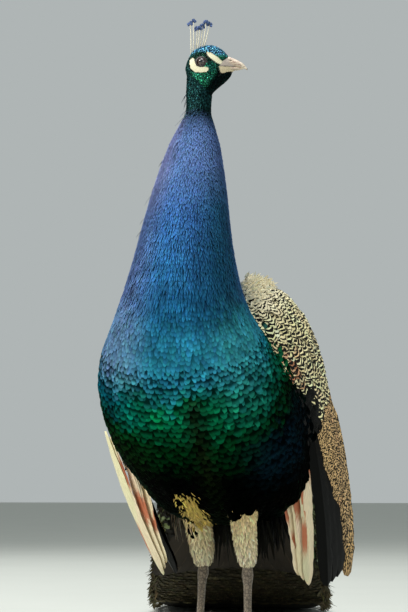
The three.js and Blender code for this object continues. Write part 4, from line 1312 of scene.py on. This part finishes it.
# Painted shade: a dark slit inside each nostril's dent.
nostril = place.vector("SUBTRACT", NOSTRIL_AT).vector("MULTIPLY", (260, 0, 700))
nostril_shade = 1 - nostril.length().step(0.55, 1.1)
colour = centred.length().step(0.003, 0.02).mixed(stain(226, 214, 190), stain(204, 186, 164))
colour = (layers.step(0.42, 0.66) * 0.75).mixed(colour, stain(146, 112, 102))
(nostril_shade * 0.9).mixed(colour, stain(58, 44, 40)).into(shader, "Base Color")
(layers * 0.2 + 0.28).into(shader, "Roughness")
layers.bump(0.2, 0.0004).into(shader, "Normal")
piece_of(bill_half(BILL_UPPER, 0.25), "bill_upper_horn", "horn", horn_finish, "bill_upper")
piece_of(bill_half(BILL_LOWER, 0), "bill_lower_horn", "horn", horn_finish, "bill_lower")

# ---------------------------------------------------------------- eyes and lids
# Dark brown eyes, wet and round, set in the sides of the skull. Each is held by a ring of fine bare
# lid that laps over its edge.
EYE_OUT, EYE_RADIUS = 12.8, 7
LID_OPENING = (6.4, 5.2)  # half length and half height of the opening
LID_RING = 1.5  # half the width of the fold of the lid
EYE_MIDDLE = placed([(EYE_X, HEAD_Y, EYE_Z)])[0]
eye_finish, dye, shader = finish("eye", Coat_Weight=1.0, Coat_Roughness=0.03, Roughness=0.12,
                                 Specular_IOR_Level=0.6)
side_on = dye.place().vector("SUBTRACT", EYE_MIDDLE).vector("MULTIPLY", (1000, 0, 1000))
ring = side_on.length()
flecks = side_on.noise(1.2, 3.0)
iris = flecks.mixed(stain(70, 40, 26), stain(44, 26, 20))
colour = ring.step(2.5, 2.9).mixed(stain(8, 7, 8), iris)
ring.step(5.2, 6.2).mixed(colour, stain(20, 14, 14)).into(shader, "Base Color")
lid_finish, dye, shader = finish("eyelid", Roughness=0.45, Specular_IOR_Level=0.5)
folds = dye.place().noise(1400.0, 3.0)
folds.mixed(stain(58, 46, 44), stain(28, 26, 28)).into(shader, "Base Color")
folds.bump(0.4, 0.0003).into(shader, "Normal")
for side, out in reversed(SIDES.items()):
    centre = np.array([EYE_X, HEAD_Y + out * EYE_OUT, EYE_Z])

    def eyeball(share, angle):
        polar = share * math.pi
        ring_radius = np.sin(polar) * EYE_RADIUS
        bulge = np.cos(polar) * EYE_RADIUS + 0.5 * smoothstep(np.cos(polar), 0.8, 1)
        return centre + np.stack([ring_radius * np.cos(angle), out * bulge, ring_radius * np.sin(angle)], axis=-1)

    def eyelid(share, angle):
        around = share * FULL_TURN
        long, high = (half + LID_RING for half in LID_OPENING)
        x = np.cos(around) * long
        z = np.sin(around) * high * (1 - 0.12 * np.cos(around))
        reach = np.hypot(x, z)
        outward = np.stack([x, np.zeros(len(x)), z], axis=-1) / reach[:, None]
        depth = np.sqrt(np.maximum((EYE_RADIUS + 0.9) ** 2 - np.minimum(reach, EYE_RADIUS) ** 2, 0.5))
        fold = outward * (np.cos(angle) * LID_RING)[:, None]
        slope = 0.55 * np.cos(angle) * LID_RING
        point = np.stack([x, out * (depth + np.sin(angle) * 0.75 - slope), z], axis=-1)
        return centre + point + fold

    piece_of(rolled(eyeball, 32, 24), f"eyeball_{side}", "eye", eye_finish, f"eye_{side}")
    piece_of(rolled(eyelid, 12, 48), f"eyelid_{side}", "scaly_skin", lid_finish)

# ---------------------------------------------------------------- crest
# A fan of bare cream shafts, stiff as wire, rooted in one row along the crown. Each carries a
# small brush of blue barbs at its end.
CREST = [  # x and z of each shaft's end, and how far it leans to the side
    (-13, 925, 1.5), (-7.5, 928, -2), (-2.5, 918, 2), (2, 917, -2), (5.5, 921, 1), (11.5, 925.5, -1.5),
    (16, 923.5, 2),
]
CREST_COUNT = len(CREST)
CREST_CREAM = ink(244, 236, 210)
CREST_BLUE = ink(96, 114, 164)
CREST_TEAL = ink(36, 70, 92)
TIP_BARBS = 34
share = np.linspace(0, 1, CREST_COUNT)
end = np.array([(x, HEAD_Y + lean, z) for x, z, lean in CREST])
row_y = HEAD_Y + (np.arange(CREST_COUNT) % 3 - 1) * 1.5
foot = np.stack([-11 + 19 * share, row_y, 876 + 11 * np.sqrt(share)], axis=-1)
facing = np.tile([0.15, -1, 0], (CREST_COUNT, 1))
patches, patch = cells(CREST_COUNT)
shaft_outline = [(t, 1 - 0.45 * t) for t in np.linspace(0, 0.98, 9)]
shaft_finish = feather_finish("crest shafts", 0, 0.5, painted_root_shade=0.8, dark_rim=0.1, sheen=0, barbs=4,
                              spread=0.2)
tuft_finish = feather_finish("crest tufts", 0.2, 0.6, sheen=0.2, barbs=10)
mesh = vanes("crest_shafts", [foot, (foot + end) / 2 + np.array([0.6, 0, 0]), end, facing, facing], 1.8,
             np.tile(CREST_CREAM, (CREST_COUNT, 1)), patches, shaft_outline, thick=1.2, camber=0, patch=patch)
piece_of(mesh, "crest_shafts", "crest_shafts", shaft_finish, "crest")
index = np.repeat(np.arange(CREST_COUNT), TIP_BARBS)
spread = np.tile(np.linspace(-1, 1, TIP_BARBS), CREST_COUNT) + rng.normal(0, 0.06, len(index))
way = unit(end - foot)[index]
across = unit(np.cross(way, facing[index]))
ray = way * np.cos(spread * 1.5)[:, None] + across * np.sin(spread * 1.5)[:, None]
ray = unit(ray + rng.normal(0, 0.3, (len(index), 3)))
roots = end[index] - way * 2.5
tips = roots + ray * (6.2 - 1.2 * np.abs(spread))[:, None]
shade = scattered(blend(CREST_BLUE, CREST_TEAL, rng.random((len(index), 1)) * 0.6), 0.2)
patches = np.stack([index / CREST_COUNT + 0.03, 0.5 + spread * 0.4], axis=-1)
mesh = vanes("crest_tips", [roots, (roots + tips) / 2, tips, facing[index], facing[index]], 2.2, shade,
             patches, LANCET, thick=0.5)
piece_of(mesh, "crest_tips", "blue_plumage", tuft_finish)

# ---------------------------------------------------------------- shanks, feet, spurs and claws
# Bare grey-brown legs in hard scales: broad plates down the front of the shank and over each toe,
# and fine grains between. Dark horn claws and one blunt spur on the inside of each shank.
ANKLE_Z = 17
# Of each toe: which way it points, in degrees outwards from straight ahead, its length and half width.
TOES = {"inner": (-34, 52, 5.6), "middle": (-2, 74, 6.4), "outer": (30, 56, 5.6), "hind": (200, 27, 4.4)}
PLATE, TOE_PLATE = 5.2, 3.4  # the length of one plate of a shank, and of a toe
HEEL = 9.4  # the radius of the ball of the foot


def added(form, *others):
    """The shells of several bmeshes in the first."""
    for other in others:
        passing = bpy.data.meshes.new("passing")
        other.to_mesh(passing)
        other.free()
        form.from_mesh(passing)
        bpy.data.meshes.remove(passing)
    return form


def scaly_finish(name, scale):
    """Scales: cells with dark joints, over a ground of grey-brown horn."""
    made, dye, shader = finish(name, Specular_IOR_Level=0.45)
    place = dye.place()
    stretched = dye.node("Mapping", {}, {"Vector": place, "Scale": scale})
    cell = dye.node("TexVoronoi", {"feature": "DISTANCE_TO_EDGE"}, {"Vector": stretched, "Scale": 1.0})
    tone = place.noise(120.0)
    joint = 1 - cell.step(0.02, 0.14)
    colour = tone.mixed(stain(150, 134, 112), stain(104, 92, 80))
    (joint * 0.75).mixed(colour, stain(56, 48, 42)).into(shader, "Base Color")
    (joint * 0.25 + 0.4).into(shader, "Roughness")
    cell.step(0.0, 0.2).bump(0.6, 0.0005).into(shader, "Normal")
    return made


shank_finish = scaly_finish("shank scales", (230, 230, 190))
foot_finish = scaly_finish("toe scales", (330, 300, 330))
claw_finish, dye, shader = finish("claw horn", Specular_IOR_Level=0.5)
grain = dye.place().noise(300.0)
grain.mixed(stain(70, 58, 48), stain(36, 30, 28)).into(shader, "Base Color")
(grain * 0.2 + 0.3).into(shader, "Roughness")
grain.bump(0.2, 0.0003).into(shader, "Normal")
for side, (leg_x, hock_y) in LEGS.items():
    turn = math.copysign(1, leg_x)
    ankle = np.array([leg_x + turn * 4, hock_y - 15, 0])  # its place on the ground
    shank_row = track([
        [leg_x, hock_y + 1, HOCK_Z + 9, 6, 7], [leg_x, hock_y + 1, HOCK_Z - 8, 8.4, 9.4],
        [leg_x + turn, hock_y - 3, HOCK_Z - 26, 6.2, 7.4], [leg_x + turn * 2, hock_y - 8, 66, 5.6, 6.8],
        [leg_x + turn * 4, hock_y - 14, 26, 6.6, 7.4], [ankle[0], ankle[1], ANKLE_Z - 8, 7.0, 7.8],
    ])

    def shank_place(share, angle):
        x, y, z, wide, deep = shank_row(share)
        front = np.clip(np.cos(angle), 0, 1)
        plate = ((z / PLATE) % 1) * front**0.5 * 0.5
        return np.stack([x + np.sin(angle) * wide, y - np.cos(angle) * (deep + plate), z], axis=-1)

    piece_of(rolled(shank_place, 26, 130), f"shank_skin_{side}", "scaly_skin", shank_finish, f"shank_{side}")
    heel = bmesh.new()
    bmesh.ops.create_uvsphere(heel, u_segments=20, v_segments=14, radius=HEEL * MM)
    bmesh.ops.translate(heel, verts=heel.verts, vec=placed([ankle + (0, 0, HEEL)])[0])
    for name, (angle_out, long, half) in TOES.items():
        a = math.radians(angle_out)
        way = np.array([turn * math.sin(a), -math.cos(a), 0])
        across = np.array([-way[1], way[0], 0])

        def from_ankle(out, aside, rise):
            steps = way * out[:, None] + across * aside[:, None] + (0, 0, 1) * rise[:, None]
            return ankle + steps

        def toe_place(share, angle):
            thin = blend(half, half * 0.62, share) * (1 + 0.1 * np.cos(share * math.pi * 6))
            thin = thin * np.sqrt(np.maximum(0, 1 - smoothstep(share, 0.93, 1) * 0.8))
            high = blend(ANKLE_Z - 5, half * 0.5, np.minimum(1, share * 2.4))
            plate = ((share * long / TOE_PLATE) % 1) * np.clip(np.cos(angle), 0, 1) ** 0.5 * 0.45
            rise = np.maximum(high + np.cos(angle) * thin * 0.95 + plate, 0.1)
            return from_ankle(share * long, np.sin(angle) * thin, rise)

        def claw_place(share, angle):
            thin = blend(half * 0.5, 0.35, share)
            drop = blend(half * 0.62, 0.7, share**1.7)
            rise = np.maximum(drop + np.cos(angle) * thin, 0.05)
            return from_ankle(long - 3 + share * (half * 2.6 + 1), np.sin(angle) * thin * 0.8, rise)

        added(heel, rolled(toe_place, 16, 60))
        horn = rolled(claw_place, 14, 16)
        piece_of(horn, f"claw_horn_{side}_{name}", "claw", claw_finish, f"claw_{side}_{name}")
    foot = welded(heel, 0.9 * MM)
    evened(foot, 1)
    piece_of(foot, f"foot_skin_{side}", "scaly_skin", foot_finish, f"foot_{side}")

    def spur_place(share, angle):
        thin = blend(4.2, 0.4, share**1.3)
        return np.stack([leg_x - turn * share * 7 + np.sin(angle) * thin, hock_y + 1 + share * 25,
                         58 + share**2 * 6 + np.cos(angle) * thin], axis=-1)

    piece_of(rolled(spur_place, 16, 16), f"spur_horn_{side}", "claw", claw_finish, f"spur_{side}")

# ---------------------------------------------------------------- the hide's markings
# The hide takes the colours of the feathers that root in it, darkened as painted shade, so that no pale ground
# shows between them. The two bare patches of the face are white, finely pebbled skin.
FACE_WHITE = ink(226, 220, 186)
CERE_GREY = ink(182, 168, 156)
CERE_CREAM = ink(212, 196, 160)
GAPE_Z = 857.5  # where the two halves of the bill meet
roots, shades = np.concatenate(coat_roots), np.concatenate(coat_shades)
near = KDTree(len(roots))
for i, point in enumerate(roots):
    near.insert(Vector(point), i)
near.balance()
# Painted shade: the hide is darkened where it shows between the feathers.
marks = shades[[near.find(Vector(point))[1] for point in hide_points]] * 0.45
x, y, z = hide_points.T
eye_ring = oval_eye(x, z, 9.2, 8.0)
white = pale_face(hide_points) & ~eye_ring
marks[white] = FACE_WHITE
marks[(z > JAW_Z) & eye_ring] = EYE_BAND
cere = (z > JAW_Z) & within(BILL_SKIN, x, z)
marks[cere] = CERE_GREY
marks[cere & (z < GAPE_Z)] = CERE_CREAM
# Painted shade along the gape, where the two halves of the bill meet.
marks[cere & (np.abs(z - GAPE_Z) < 1.0)] = CERE_GREY * 0.35
marks = np.concatenate([marks, white[:, None].astype(float)], axis=1)
skin_mesh = bpy.data.meshes.new("skin")
hide.to_mesh(skin_mesh)
hide.free()
skin_mesh.attributes.new("Shade", "FLOAT_COLOR", "POINT").data.foreach_set("color", marks.ravel())
skin_finish, dye, shader = finish("skin", Specular_IOR_Level=0.4)
shade = dye.node("Attribute", {"attribute_name": "Shade"}, {})
pebbles = dye.node("TexVoronoi", {}, {"Vector": dye.place(), "Scale": 900.0})
tone = dye.place().noise(260.0)
shade.lit(tone * 0.4 + 0.8).into(shader, "Base Color")
(tone * 0.2 + 0.5).into(shader, "Roughness")
pebbles.bump(0.35, 0.0004).into(shader, "Normal")
piece_of(skin_mesh, "skin", "green_plumage", skin_finish, *FLESH)

# ---------------------------------------------------------------- studio
# A plain pale floor of painted board, soft light from the front left and a weak fill, none of it
# part of the bird, and the camera low in front.
CAMERA_AT = (652.4, -2825.7, 250)
HEADING, PITCH = math.radians(13), math.radians(5.2)
LENS = 117.65
SKY = (0.78, 0.84, 0.84, 1)
bpy.context.scene.view_settings.view_transform = "Standard"
floor = bmesh.new()
bmesh.ops.create_grid(floor, x_segments=1, y_segments=1, size=30)
bmesh.ops.translate(floor, verts=floor.verts, vec=(0, 0, -0.0005))
floor_mesh = bpy.data.meshes.new("floor")
floor.to_mesh(floor_mesh)
floor.free()
floor_finish, dye, shader = finish("studio floor", Roughness=0.8)
mottle = dye.place().noise(3.0, 3.0)
mottle.mixed(stain(188, 191, 184), stain(180, 183, 176)).into(shader, "Base Color")
floor_mesh.materials.append(floor_finish)
floor_object = bpy.data.objects.new("floor", floor_mesh)
bpy.context.scene.collection.objects.link(floor_object)

world = bpy.data.worlds.new("studio")
world.use_nodes = True
sky = world.node_tree.nodes["Background"].inputs
sky["Color"].default_value, sky["Strength"].default_value = SKY, 0.55
bpy.context.scene.world = world
LIGHTS = {  # where each soft light stands and points, in metres, its size, power and colour
    "key": ((-2.4, -2.6, 3.4), (0, -0.6, 0.55), 2.0, 190, (1, 0.98, 0.95)),
    "top": ((0.4, -0.4, 4.2), (0, -0.4, 0.4), 2.4, 90, (0.97, 0.99, 1)),
    "fill": ((3.0, -2.6, 1.6), (0, -0.5, 0.5), 2.4, 20, (0.92, 0.97, 1)),
    "back": ((-1.6, 2.8, 3.0), (0, 0.2, 0.3), 2.0, 60, (1, 1, 1)),
}
for name, (stand, aim, size, power, tint) in LIGHTS.items():
    lamp = bpy.data.lights.new(name, "AREA")
    lamp.shape, lamp.size, lamp.energy, lamp.color = "DISK", size, power, tint
    light = bpy.data.objects.new(name, lamp)
    light.location = stand
    light.rotation_euler = (Vector(aim) - Vector(stand)).to_track_quat("-Z", "Y").to_euler()
    bpy.context.scene.collection.objects.link(light)
camera_data = bpy.data.cameras.new("camera")
camera_data.lens, camera_data.sensor_width, camera_data.clip_end = LENS, 36, 100
camera = bpy.data.objects.new("camera", camera_data)
camera.location = placed([CAMERA_AT])[0]
forward = Vector((-math.sin(HEADING) * math.cos(PITCH), math.cos(HEADING) * math.cos(PITCH), math.sin(PITCH)))
camera.rotation_euler = forward.to_track_quat("-Z", "Y").to_euler()
bpy.context.scene.collection.objects.link(camera)
bpy.context.scene.camera = camera
